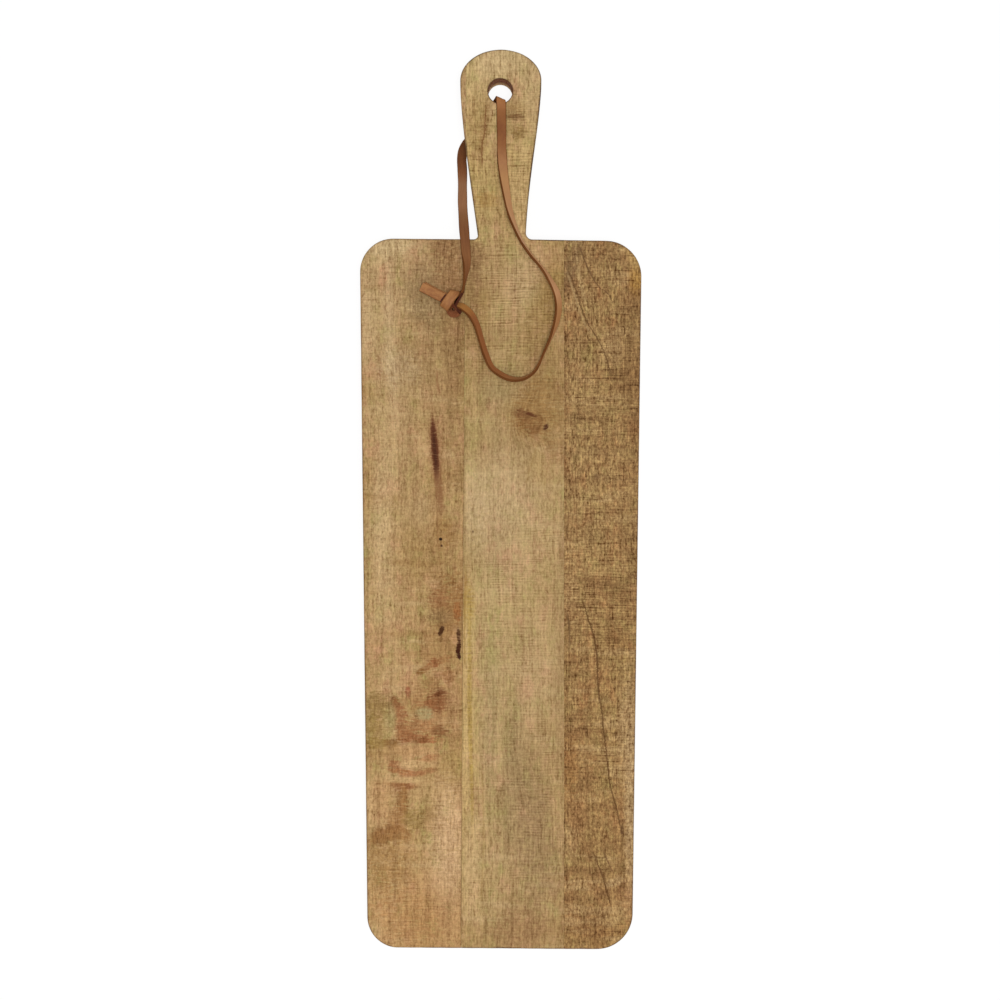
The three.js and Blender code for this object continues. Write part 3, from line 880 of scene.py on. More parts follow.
def plankSolid(name, plan, triangles, edgeGap, holeGap, material, seed):
    # The plan's triangles make the face and, turned over, the back; the open sides are closed with rows
    used, local = np.unique(triangles.ravel(), return_inverse=True)
    flat, faces = plan[used], local.reshape(-1, 3)
    gap, hole = edgeGap[used], holeGap[used]
    front, back = faceHeights(flat, gap, hole, seed)
    count = len(flat)
    edges = np.vstack([faces[:, [0, 1]], faces[:, [1, 2]], faces[:, [2, 0]]])
    key = np.sort(edges, axis=1) @ [count, 1]
    _, position, repeats = np.unique(key, return_index=True, return_counts=True)
    rim = edges[position[repeats == 1]]
    rimPoints = np.unique(rim)
    rows = boardMesh["wallRows"]
    shares = np.arange(1, rows)[:, None] / rows
    wall = front[rimPoints] + (back[rimPoints] - front[rimPoints]) * shares
    points = np.vstack([np.column_stack([flat, front]), np.column_stack([flat, back]),
                        np.column_stack([np.tile(flat[rimPoints], (rows - 1, 1)), wall.ravel()])]) * mm
    place = np.full(count, -1)
    place[rimPoints] = np.arange(len(rimPoints))
    ladder = [np.arange(count)]
    for row in range(rows - 1):
        ladder.append(np.where(place >= 0, 2 * count + row * len(rimPoints) + place, -1))
    ladder.append(np.arange(count) + count)
    quads = []
    for upper, lower in zip(ladder[:-1], ladder[1:]):
        quads.append(np.stack([upper[rim[:, 1]], upper[rim[:, 0]], lower[rim[:, 0]], lower[rim[:, 1]]], 1))
    allFaces = faces.tolist() + (faces[:, ::-1] + count).tolist() + np.vstack(quads).tolist()
    fields = {field: np.concatenate([values, values, np.tile(values[rimPoints], rows - 1)])
              for field, values in (("fromEdge", gap), ("fromHole", hole))}
    faces = faceOutwards(points, allFaces)
    return buildMesh(name, points, faces, material, fields, boardMesh["sharpAngle"])


# Wood: colour runs and stains under the marks that sawing left, all in the board's own millimetres

# How fine each noise is along x, y and z, its detail, roughness and bend, and which plank shifts move it.
# The first ones follow the board, the others the fibres
boardNoise = {
    "ragged": ((0.24, 0.85, 0.2), 6, 0.74, 0.7, (0, 1, 2)),
    "rows": ((0.028, 0.15, 0.1), 4, 0.6, 0, (1, 0, 4)),
    "sawPlace": ((0.018, 0.035, 0.05), 2, 0.5, 0, (0, 1, 2)),
    "sawWobble": ((0.01, 0.03, 0.0), 2, 0.5, 0, (0, 1, 2)),
    "toothBreaks": ((0.12, 0.34, 0.3), 3, 0.6, 0, (0, 1, 2)),
    "hairClusters": ((0.1, 0.2, 0.3), 2, 0.6, 0, (0, 1, 2)),
    "sawHairs": ((0.1, 1.15, 0.4), 3, 0.6, 0.2, (0, 1, 2)),
    "poreChop": ((0.6, 1.5, 0.5), 2, 0.6, 0, (0, 1, 2)),
    "scores": ((0.05, 0.8, 0.3), 3, 0.6, 0.15, (2, 0, 1)),
    "endPores": ((2.4, 0.05, 2.4), 2, 0.6, 0, (0, 1, 2)),
    "arrisPatches": ((0.05, 0.04, 0.05), 3, 0.6, 0, (0, 1, 2)),
}
fibreNoise = {
    "ripple": ((0.22, 0.09, 0.1), 4, 0.62, 0, (0, 1, 2)),
    "cloud": ((0.1, 0.055, 0.05), 4, 0.68, 0, (0, 1, 2)),
    "tint": ((0.42, 0.2, 0.3), 3, 0.6, 0.4, (2, 3, 0)),
    "fibres": ((0.95, 0.25, 1.0), 4, 0.62, 0.3, (0, 1, 2)),
    "longFibres": ((0.9, 0.045, 0.8), 3, 0.62, 0.2, (0, 1, 2)),
    "speckle": ((0.95, 0.66, 0.9), 3, 0.65, 0.4, (0, 1, 2)),
    "bands": ((0.3, 0.02, 0.4), 3, 0.6, 0, (0, 1, 2)),
    "pores": ((1.1, 0.24, 0.5), 3, 0.6, 0, (1, 2, 0)),
    "splits": ((0.9, 0.06, 0.3), 3, 0.6, 0.1, (2, 1, 0)),
}
swayNoise = ((0.016, 0.009, 0.03), 2, 0.5, 0)
ringNoise = ((0.75, 0.02, 0.03), 2, 0.6, 0)
moreShifts = (3, 5)

# From and to which value each share runs, and the shares there where they aren't 0 and 1
woodRange = {
    "front": (9.0, 13.0), "endFace": (0.55, 0.85), "sideFace": (0.75, 0.45),
    "stainStreaks": (0.16, -0.12, 0.4, 1.2), "knotPull": (2.4, 0.3),
    "olive": (0.5, 0.72, 0), "warm": (0.5, 0.28, 0), "oliveTint": (0.52, 0.7, 0), "warmTint": (0.48, 0.3, 0),
    "deepRows": (0.52, 0.68), "paleRows": (0.48, 0.32),
    "sawPlace": (0.34, 0.64, 0.15), "toothBreaks": (0.42, 0.6), "hairClusters": (0.38, 0.62, 0.25, 1.2),
    "sawnFibres": (0.2, 1.0, 1.0, 0.55), "poreChop": (0.36, 0.56), "handle": (140, 172, 1.0),
    "scores": (0.57, 0.69), "sawnScores": (0.0, 0.8, 0.35, 1), "splits": (0.6, 0.72),
    "rings": (0.35, 0.65), "endPores": (0.54, 0.68, 0, 0.5),
    "rub": (1.2, 0.2, 0), "arrisPatches": (0.4, 0.6, 0.45, 1.0), "arrisHeight": (9.0, 13.5, 0.4, 1.0),
    "holeDepth": (3.5, 9.5), "holeRim": (13.4, 14.6), "holeWallReach": (0.8, 0.1, 0, 0.9),
    "polish": (-0.5, 0.5, 0.86, 0.7),
}
woodShape = {
    "drift": 5.0,
    "acrossShare": 0.5,
    "sawPitch": 1.56,
    "toothSway": 6.0,
    "poreSpread": 0.14,
    "arrisRagged": 1.2,
    "veinWaver": 2.6,
    "veinEdge": (1.3, 0.2),
    "veinFade": 4.0,
    "specular": 0.16,
}


def ranged(tree, value, key, *levels):
    return between(tree, value, *woodRange[key], *levels)


def noisesOf(tree, vector, recipes, shifts):
    return {key: noiseOf(tree, vector, *recipe, [shifts[index] for index in order])
            for key, (*recipe, order) in recipes.items()}


def ovalReach(tree, offX, offY, halfWidth, halfLong):
    # How far out a place lies from an oval's middle: 1 on its rim
    squares = [calc(tree, "POWER", calc(tree, "ABSOLUTE", calc(tree, "DIVIDE", off, half)), 2.0)
               for off, half in ((offX, halfWidth), (offY, halfLong))]
    return calc(tree, "SQRT", plus(tree, *squares))


# The usual raggedness, edge softness and turn of a mark, and the tones of sawn, planed and deeply sawn zones
usualMark = (1.6, 0.7, 0)
sawn, planed, deepSawn = (255, 255, 255), (0, 0, 0), (330, 330, 330)
stainNumbers = ("Across", "Along", "Ripple", "Centre Across", "Centre Along", "Half Width", "Half Length",
                "Turn", "Edge", "Ragged", "Strength")


def stainTree():
    # An oval mark with a soft ragged edge: the colour turns to the stain's where the place is inside it
    tree = bpy.data.node_groups.new("woodStain", "ShaderNodeTree")
    sockets = [(number, "INPUT", "Float") for number in stainNumbers]
    sockets += [("Colour", "INPUT", "Color"), ("Stain", "INPUT", "Color"), ("Colour", "OUTPUT", "Color")]
    for socket, side, kind in sockets:
        tree.interface.new_socket(socket, in_out=side, socket_type="NodeSocket" + kind)
    given = addNode(tree, "NodeGroupInput").outputs
    across = minus(tree, given["Across"], given["Centre Across"])
    along = minus(tree, given["Along"], given["Centre Along"])
    cosine, sine = calc(tree, "COSINE", given["Turn"]), calc(tree, "SINE", given["Turn"])
    sideways = plus(tree, times(tree, across, cosine), times(tree, along, sine))
    lengthways = minus(tree, times(tree, along, cosine), times(tree, across, sine))
    reach = ovalReach(tree, sideways, lengthways, given["Half Width"], given["Half Length"])
    reach = plus(tree, reach, times(tree, given["Ripple"], given["Ragged"]))
    inside = between(tree, reach, plus(tree, 1.0, given["Edge"]), minus(tree, 1.0, given["Edge"]))
    inside = times(tree, inside, ranged(tree, given["Ripple"], "stainStreaks"))
    factor = times(tree, inside, given["Strength"], clamp=True)
    addNode(tree, "NodeGroupOutput", {"Colour": blendOf(tree, factor, given["Colour"], given["Stain"])})
    return tree


woodStain = stainTree()


def stainOver(tree, colour, across, along, ripple, front, marks):
    for x, y, halfWidth, halfLong, tone, strength, *rest in marks:
        ragged, edge, turn = (*rest, *usualMark[len(rest):])
        values = (across, along, ripple, x, y, halfWidth, halfLong, math.radians(turn), edge, ragged,
                  times(tree, front, strength))
        inputs = dict(zip(stainNumbers, values), Colour=colour, Stain=toneOf(*tone))
        colour = addNode(tree, "ShaderNodeGroup", inputs, node_tree=woodStain).outputs[0]
    return colour


def veinOver(tree, colour, across, along, ragged, front, veins):
    # A thin line drawn through a few places: its x is a smooth curve of y
    outer, inner = woodShape["veinEdge"]
    for places, width, tone, strength in veins:
        xs, ys = np.array(sorted(places, key=lambda place: place[1]), float).T
        lowX, spanX = xs.min(), max(float(np.ptp(xs)), 1.0)
        lowY, highY, spanY = ys[0], ys[-1], ys[-1] - ys[0]
        share = between(tree, along, lowY, highY, smooth=False)
        curve = addNode(tree, "ShaderNodeFloatCurve", {"Value": share})
        points = curve.mapping.curves[0].points
        for _ in ys[2:]:
            points.new(0.5, 0.5)
        for point, x, y in zip(points, xs, ys):
            point.location = ((y - lowY) / spanY, (x - lowX) / spanX)
        curve.mapping.update()
        middle = timesPlus(tree, curve.outputs[0], spanX, lowX)
        gap = timesPlus(tree, ragged, woodShape["veinWaver"], minus(tree, across, middle))
        line = between(tree, calc(tree, "ABSOLUTE", gap), width * outer, width * inner)
        fade = min(woodShape["veinFade"], spanY / 4)
        ends = times(tree, between(tree, along, lowY - fade / 2, lowY + fade),
                     between(tree, along, highY + fade / 2, highY - fade))
        factor = times(tree, times(tree, line, ends), times(tree, front, strength))
        colour = blendOf(tree, factor, colour, toneOf(*tone))
    return colour


def fibrePlaceOf(tree, place, look):
    # The fibres' own coordinates: they wander from side to side, and ring round each knot
    x, y, z = partsOf(tree, place)
    sway = minus(tree, noiseOf(tree, place, *swayNoise, look["shift"]), 0.5)
    across = timesPlus(tree, sway, look["wander"], x)
    for knotX, knotY, halfWidth, halfLong, pull in look["knots"]:
        ring = ovalReach(tree, minus(tree, x, knotX), minus(tree, y, knotY), halfWidth, halfLong)
        near = times(tree, ranged(tree, ring, "knotPull"), pull)
        across = mixOf(tree, near, across, timesPlus(tree, ring, halfWidth, knotX))
    return across, addNode(tree, "ShaderNodeCombineXYZ", {0: across, 1: y, 2: z}).outputs[0]


def fineMarks(tree, noise, y, sawPlace, look):
    # Every fine mark adds to one number: below 0 the wood is darker than its own tone, above 0 paler
    rows = calc(tree, "DIVIDE", y, woodShape["sawPitch"])
    sawPhase = timesPlus(tree, noise["sawWobble"], woodShape["toothSway"], rows)
    tooth = calc(tree, "SINE", times(tree, sawPhase, 2 * math.pi))
    teeth = times(tree, tooth, ranged(tree, noise["toothBreaks"], "toothBreaks"))
    clusters = times(tree, sawPlace, ranged(tree, noise["hairClusters"], "hairClusters"))
    vigour = levelRun(tree, y, look["vigour"])
    fibreShare = times(tree, ranged(tree, sawPlace, "sawnFibres"), look["fibres"])
    layers = (
        (noise["fibres"], times(tree, fibreShare, vigour)),
        (noise["longFibres"], times(tree, vigour, look["longFibres"])),
        (noise["speckle"], look["speckle"]),
        (noise["bands"], look["bands"]),
        (noise["sawHairs"], times(tree, clusters, look["sawHairs"])),
        (timesPlus(tree, teeth, 0.5, 0.5), times(tree, sawPlace, look["sawTeeth"])),
    )
    total = 0.0
    for layer, weight in layers:
        total = timesPlus(tree, minus(tree, layer, 0.5), weight, total)
    pore = between(tree, noise["pores"], look["poreFrom"], look["poreFrom"] + woodShape["poreSpread"])
    pore = times(tree, pore, ranged(tree, noise["poreChop"], "poreChop"))
    score = times(tree, ranged(tree, noise["scores"], "scores"), ranged(tree, sawPlace, "sawnScores"))
    split = ranged(tree, noise["splits"], "splits")
    rougher = ranged(tree, y, "handle", look["handleRough"])
    for mark, weight in ((pore, "pores"), (score, "scores"), (split, "splits")):
        total = timesPlus(tree, times(tree, mark, rougher), -look[weight], total)
    return total


def faceColour(tree, noise, across, y, flatFace, look):
    # Colour runs along the plank and across it, with olive and warm clouds and darker and paler rows
    drifted = timesPlus(tree, minus(tree, noise["ripple"], 0.5), woodShape["drift"], across)
    lengthways, sideways = toneRun(tree, y, look["along"]), toneRun(tree, drifted, look["across"])
    colour = blendOf(tree, woodShape["acrossShare"], lengthways, sideways)
    for cloud, olive, warm, oliveShare, warmShare in (
            ("cloud", "olive", "warm", look["olive"], look["warm"]),
            ("tint", "oliveTint", "warmTint", look["tint"], look["tint"])):
        greener = ranged(tree, noise[cloud], olive, oliveShare)
        warmer = ranged(tree, noise[cloud], warm, warmShare)
        colour = blendOf(tree, greener, colour, toneOf(*look["oliveTone"]))
        colour = blendOf(tree, warmer, colour, toneOf(*look["warmTone"]))
    rowShare = times(tree, flatFace, look["rows"])
    for rows, rowTone in (("deepRows", "rowDeep"), ("paleRows", "rowPale")):
        rowFactor = times(tree, ranged(tree, noise["rows"], rows), rowShare)
        colour = blendOf(tree, rowFactor, colour, toneOf(*look[rowTone]))
    return colour


def endColour(tree, noise, x, z, look):
    # End grain: the year rings round a pith that lies outside the plank, and the cut ends of the pores
    pithX, pithZ = look["pith"]
    ring = ovalReach(tree, minus(tree, x, pithX), minus(tree, z, pithZ), 1.0, 1.0)
    ringPlace = addNode(tree, "ShaderNodeCombineXYZ", {0: ring, 1: x, 2: z}).outputs[0]
    rings = ranged(tree, noiseOf(tree, ringPlace, *ringNoise, look["shift"]), "rings")
    colour = blendOf(tree, rings, toneOf(*look["endDeep"]), toneOf(*look["endPale"]))
    pores = ranged(tree, noise["endPores"], "endPores")
    return blendOf(tree, pores, colour, (*look["darkGain"], 1), "MULTIPLY")


def woodMaterial(name, look):
    material, tree = newTree(name)
    place = objectMillimetres(tree)
    x, y, z = partsOf(tree, place)
    across, fibrePlace = fibrePlaceOf(tree, place, look)
    shifts = (*look["shift"], *moreShifts)
    noise = noisesOf(tree, place, boardNoise, shifts) | noisesOf(tree, fibrePlace, fibreNoise, shifts)
    _, normalY, normalZ = partsOf(tree, addNode(tree, "ShaderNodeTexCoord").outputs["Normal"])
    endFace = ranged(tree, calc(tree, "ABSOLUTE", normalY), "endFace")
    sideFace = ranged(tree, calc(tree, "ABSOLUTE", normalZ), "sideFace")
    front = ranged(tree, z, "front")
    ragged = minus(tree, noise["ragged"], 0.5)
    colour = faceColour(tree, noise, across, y, minus(tree, 1.0, sideFace), look)
    colour = stainOver(tree, colour, across, y, ragged, front, look["stains"])

    sawPlace = ranged(tree, noise["sawPlace"], "sawPlace", look["sawEverywhere"])
    sawPlace = stainOver(tree, sawPlace, x, y, ragged, 1.0, look["sawZones"])
    marks = fineMarks(tree, noise, y, sawPlace, look)
    for side, gain in ((-1.0, "darkGain"), (1.0, "paleGain")):
        colour = blendOf(tree, times(tree, marks, side, clamp=True), colour, (*look[gain], 1), "MULTIPLY")
    colour = veinOver(tree, colour, across, y, ragged, front, look["veins"])
    colour = stainOver(tree, colour, x, y, ragged, front, look["darkMarks"])
    colour = blendOf(tree, times(tree, endFace, sideFace), colour, endColour(tree, noise, x, z, look))

    # The arris is painted darker in a ragged band, partly painted shade of the rounded edge turned from the
    # light and partly dirt; round the hole the colour turns to the wall's painted light and shade
    fromEdge, fromHole = (attributeOf(tree, field, "Fac") for field in ("fromEdge", "fromHole"))
    arrisReach = plus(tree, fromEdge, times(tree, ragged, woodShape["arrisRagged"]))
    rubShare = ranged(tree, arrisReach, "rub", look["edgeDark"])
    rubShare = times(tree, rubShare, ranged(tree, noise["arrisPatches"], "arrisPatches"))
    rubShare = times(tree, rubShare, ranged(tree, z, "arrisHeight"))
    # The arris band: painted shade of the rounded edge, mixed with dirt
    colour = blendOf(tree, rubShare, colour, toneOf(*look["edgeTone"]))
    # Painted light and shade in the hole: pale low in the wall and darker higher up, with a darker ring at
    # the mouth
    wall = blendOf(tree, ranged(tree, z, "holeDepth"), toneOf(*look["holeWallLight"]), toneOf(*look["holeDeep"]))
    wall = blendOf(tree, ranged(tree, z, "holeRim"), wall, toneOf(*look["rimTone"]))
    colour = blendOf(tree, ranged(tree, plus(tree, fromHole, ragged), "holeWallReach"), colour, wall)
    relief = bumpOf(tree, marks, look["sawDepth"] * mm, look["reliefShare"])
    rough = ranged(tree, marks, "polish")
    addShader(tree, {"Base Color": colour, "Roughness": rough, "Normal": relief}, woodShape["specular"])
    return material


# Marks are x, y, half width, half length, colour and strength, then, where they aren't as usual,
# raggedness, edge softness and turn. Veins are the places they pass, half width, colour, strength.
# Runs are places in millimetres with the colour or level there

# What at least two of the planks share
woodLook = {
    "knots": (), "olive": 0.75, "warm": 0.75, "longFibres": 0.8, "tint": 0.3, "holeWallLight": (236, 194, 140),
    "holeDeep": (148, 90, 60), "sawDepth": 0.2, "reliefShare": 0.5,
}
leftStains = (
    (-38, 108, 11, 13, (136, 116, 80), 0.55, 1.2, 0.6, 20),
    (-44, 119, 9, 15, (148, 118, 80), 0.7, 1.2, 0.7, -15),
    (-29, 128, 8, 22, (148, 108, 70), 0.65, 1.6, 0.6, 6), (-26, 90, 6.5, 48, (142, 106, 64), 0.7, 1.4, 0.6),
    (-34, 74, 9, 30, (158, 126, 82), 0.5, 1.4, 0.7, 2), (-61, 92, 3, 40, (204, 174, 130), 0.45, 1.6, 0.7, 2),
    (-66, 142, 18, 7, (204, 176, 130), 0.75), (-47, 76, 8, 16, (160, 128, 84), 0.4),
    (-76, 62, 5, 9, (150, 120, 62), 0.35, 1.6, 0.6), (-75, 8, 4, 18, (158, 128, 72), 0.45),
    (-56, 73, 10, 9, (206, 178, 138), 0.45, 1.8), (-55, 46, 5, 16, (192, 162, 116), 0.4, 1.8),
    (-25.2, 14, 4.5, 10, (150, 114, 70), 0.55, 1.6, 0.6), (-43, -6, 11, 9, (202, 172, 128), 0.45, 1.8),
    (-66, -14, 5, 44, (204, 172, 126), 0.5), (-52, 20, 4, 60, (164, 132, 86), 0.4, 1.6, 0.7, 1),
    (-36, 2, 5, 34, (160, 120, 74), 0.6, 1.6, 0.7, 2), (-31.4, -18, 5, 9, (148, 108, 60), 0.65, 1.6, 0.6, 8),
    (-46, -28, 11, 26, (162, 126, 76), 0.45, 1.6, 0.8, -4),
    (-29, -58, 9, 17, (148, 106, 60), 0.84, 2, 0.39, -10),
    (-24.2, -62.3, 2.2, 5.5, (156, 96, 50), 0.73, 1.2, 0.39),
    (-34, -84, 11, 13, (160, 120, 74), 0.62, 2.4, 0.45, 14),
    (-37.3, -90.7, 2.6, 2.8, (144, 90, 52), 0.84, 2.4, 0.33),
    (-41.4, -93.5, 3.8, 1.5, (156, 106, 64), 0.78, 2, 0.33, 28),
    (-44.6, -95.4, 2.6, 1.5, (134, 92, 46), 0.9, 2, 0.33, 10),
    (-31.4, -88.5, 4.4, 1.8, (160, 112, 68), 0.67, 2.4, 0.33, 25),
    (-29.2, -98, 3.2, 4.4, (150, 106, 64), 0.73, 2.6, 0.33),
    (-38.6, -102.4, 4.4, 3.2, (150, 112, 66), 0.67, 2.6, 0.39),
    (-41, -118, 13, 14, (168, 122, 78), 0.56, 2.6, 0.52),
    (-35.3, -111.9, 7.2, 5.6, (134, 84, 48), 0.97, 3, 0.29, 24),
    (-34, -106.8, 3.4, 2.2, (110, 64, 32), 0.95, 2.2, 0.33, 10),
    (-41.5, -113.8, 5.5, 2.6, (150, 98, 58), 0.84, 2.6, 0.33, 10),
    (-52, -106.3, 1.5, 3, (160, 98, 66), 0.9, 1.6, 0.33),
    (-59.6, -112.2, 2.2, 3.6, (126, 82, 44), 0.97, 2, 0.29, 8),
    (-58.7, -116, 2.6, 5, (146, 96, 56), 0.9, 2.4, 0.33, 6),
    (-55.6, -124, 4, 8.4, (158, 106, 66), 0.85, 3.2, 0.4, 8),
    (-53.4, -130.8, 6, 4, (152, 100, 60), 0.95, 2.6, 0.33),
    (-44.8, -132.6, 10, 2.6, (158, 104, 64), 0.95, 2.4, 0.33, -2),
    (-44.2, -133.4, 3.4, 1.4, (136, 86, 48), 0.9, 1.8, 0.33),
    (-35.3, -128.6, 5, 2.6, (136, 92, 54), 0.9, 2.4, 0.33, -4),
    (-46, -125.4, 9, 3.6, (166, 116, 72), 0.67, 2.6, 0.39, 4),
    (-43.1, -118.6, 4.4, 3.6, (168, 152, 104), 0.67, 2, 0.39),
    (-62.6, -119.7, 3.4, 6.5, (180, 158, 106), 0.6, 2.4, 0.45),
    (-69.5, -114.7, 7, 7, (142, 112, 62), 0.75, 2.8, 0.45),
    (-72.4, -124.6, 5, 6, (146, 116, 62), 0.7, 2.8, 0.45),
    (-70.4, -135.3, 7, 3, (148, 118, 56), 0.78, 2, 0.39),
    (-61.5, -135.3, 4.4, 3, (138, 96, 52), 0.84, 2, 0.39),
    (-64, -130.3, 6, 2, (192, 164, 110), 0.3, 2.4, 0.45),
    (-50, -139.9, 13, 3, (194, 150, 102), 0.78, 2.2, 0.39, -2),
    (-66, -141, 9, 6, (160, 124, 72), 0.5, 2.2, 0.6), (-59.6, -148, 3.4, 3.4, (158, 100, 62), 0.9, 2.8, 0.4),
    (-40.9, -143.9, 6.5, 1.9, (172, 118, 76), 0.7, 3, 0.4, 8),
    (-42, -150.9, 6.5, 1.6, (162, 110, 68), 0.75, 3, 0.4, 10),
    (-50, -152.5, 6, 1.8, (174, 118, 76), 0.75, 3, 0.4, 2),
    (-57, -150.6, 6, 1.3, (164, 110, 66), 0.84, 2, 0.33, -8),
    (-54.8, -158.9, 8.5, 2.1, (144, 90, 50), 0.97, 2, 0.33, -4),
    (-48.7, -146.9, 9, 1.9, (208, 170, 118), 0.78, 2, 0.39),
    (-50.3, -155.6, 10, 1.5, (202, 166, 114), 0.78, 2, 0.39, 4),
    (-54.9, -167.5, 3.2, 8, (148, 104, 58), 0.95, 2, 0.39),
    (-57.5, -178.1, 5.8, 8.5, (154, 108, 62), 0.84, 2.2, 0.39, -12),
    (-65.4, -186.5, 8.5, 4.2, (140, 92, 48), 0.95, 2.2, 0.39, 20),
    (-56, -185.4, 6, 4.4, (150, 104, 58), 0.84, 2.2, 0.39),
    (-48.1, -177.6, 6.5, 5.5, (150, 120, 66), 0.78, 2.2, 0.39),
    (-38.1, -174.2, 5.5, 5.5, (148, 114, 62), 0.78, 2.2, 0.39),
    (-30.8, -179.8, 4.4, 3.4, (156, 114, 70), 0.67, 2.2, 0.39),
    (-66.5, -164.5, 8, 15, (190, 148, 98), 0.6, 1.6, 0.6),
    (-28.1, -148.1, 6, 10, (164, 134, 74), 0.7, 1.8, 0.6),
    (-39.2, -162.5, 9, 8, (192, 158, 106), 0.6, 1.8, 0.6), (-29.2, -197, 9, 38, (206, 168, 124), 0.85, 1.8),
    (-63, -203, 14, 15, (162, 122, 72), 0.8, 1.8), (-48, -233, 28, 17, (172, 124, 76), 0.65),
    (-72, -241, 5, 6, (206, 170, 124), 0.5, 1.4, 0.6, -30), (-31, 141, 7, 7, (142, 104, 66), 0.8, 1.4),
    (-74, 98, 5, 24, (202, 170, 124), 0.55), (-70, -131, 5, 5, (146, 116, 62), 0.5, 2, 0.6),
    (-27, -112, 4, 7, (184, 146, 100), 0.4), (-34, -55, 5.5, 5, (148, 100, 62), 0.6, 2.4, 0.6),
    (-34, -65, 6, 4, (128, 102, 66), 0.5, 2.6, 0.6), (-74, -170, 4, 12, (204, 166, 116), 0.7),
)
leftDarkMarks = (
    (-36.4, 26.5, 2.6, 19, (142, 94, 62), 0.7, 0.6, 0.5, 4.5),
    (-36.6, 27.3, 1.8, 17, (98, 55, 32), 1.4, 0.45, 0.3, 4.5),
    (-36.6, 26.2, 0.9, 12, (72, 36, 18), 0.9, 0.5, 0.5, 4.5),
    (-34.2, 4.5, 1.9, 10, (144, 100, 64), 0.85, 0.8, 0.6, 5),
    (-33.4, -22, 0.85, 0.8, (48, 28, 18), 2, 0.2, 0.3),
    (-32.8, -25.6, 0.55, 0.6, (86, 56, 34), 1.6, 0.2, 0.4),
    (-33.1, -72.9, 1.2, 2.7, (76, 44, 18), 1.8, 0.6, 0.45, -24),
    (-23.5, -74.6, 1, 3.4, (82, 50, 28), 1.2, 0.7, 0.45, 3),
    (-23.5, -82.6, 1.2, 4.4, (70, 34, 12), 2, 1, 0.45, -6),
    (-23.1, -86.6, 0.8, 2.2, (62, 28, 12), 2, 0.6, 0.5, 8),
)
leftSawZones = (
    (-44, -130, 30, 46, sawn, 0.9, 1.5, 0.6), (-48, -228, 30, 24, sawn, 0.9, 1.5, 0.6),
    (-50, 100, 30, 46, sawn, 0.6, 1.5, 0.8),
)
leftVeins = (
    (((-40.3, 24.5), (-38.4, 28.5), (-37.4, 31)), 0.5, (104, 64, 38), 0.7),
    (((-33.6, 58), (-35.2, 66), (-35, 72)), 0.8, (140, 92, 58), 0.5),
    (((-42.5, 62), (-42, 74), (-43, 88)), 0.5, (150, 112, 74), 0.4),
    (((-21.9, -60), (-21.5, -130), (-22, -200), (-22.1, -240)), 0.35, (150, 116, 74), 0.6),
    (((-34.2, -40), (-35.5, -22), (-36.5, -2), (-37.4, 12)), 0.6, (144, 102, 62), 0.45),
)
leftPlank = dict(
    woodLook, shift=(12, 40, 7), wander=5,
    along=(
        (-250, (202, 160, 104)), (-205, (198, 156, 104)), (-160, (184, 143, 94)), (-110, (178, 137, 87)),
        (-55, (182, 146, 96)), (0, (183, 148, 99)), (70, (174, 141, 94)), (145, (186, 154, 110)),
    ),
    across=(
        (-79, (182, 149, 101)), (-70, (188, 156, 108)), (-61, (193, 160, 114)), (-53, (188, 153, 106)),
        (-46, (182, 147, 100)), (-39, (176, 141, 94)), (-32, (174, 137, 91)), (-25, (176, 141, 92)),
        (-19, (162, 127, 79)),
    ),
    oliveTone=(162, 146, 84), warmTone=(194, 144, 106), stains=leftStains, veins=leftVeins,
    darkMarks=leftDarkMarks, sawZones=leftSawZones,
    vigour=((-250, 1), (-200, 0.95), (60, 0.95), (105, 1.2), (150, 1.25), (250, 1.35)),
    sawEverywhere=0.7, fibres=2, speckle=1.65, bands=1.2, sawHairs=1.25, sawTeeth=0.08, scores=0.24,
    splits=0.2, handleRough=2, rows=0.5, rowDeep=(162, 124, 76), rowPale=(200, 168, 120), poreFrom=0.54,
    pores=0.3, darkGain=(0.29, 0.18, 0.06), paleGain=(1.62, 1.7, 1.75), endDeep=(120, 92, 58),
    endPale=(162, 130, 88), pith=(-48, -34), edgeDark=0.7, edgeTone=(112, 78, 46), rimTone=(84, 46, 26),
)
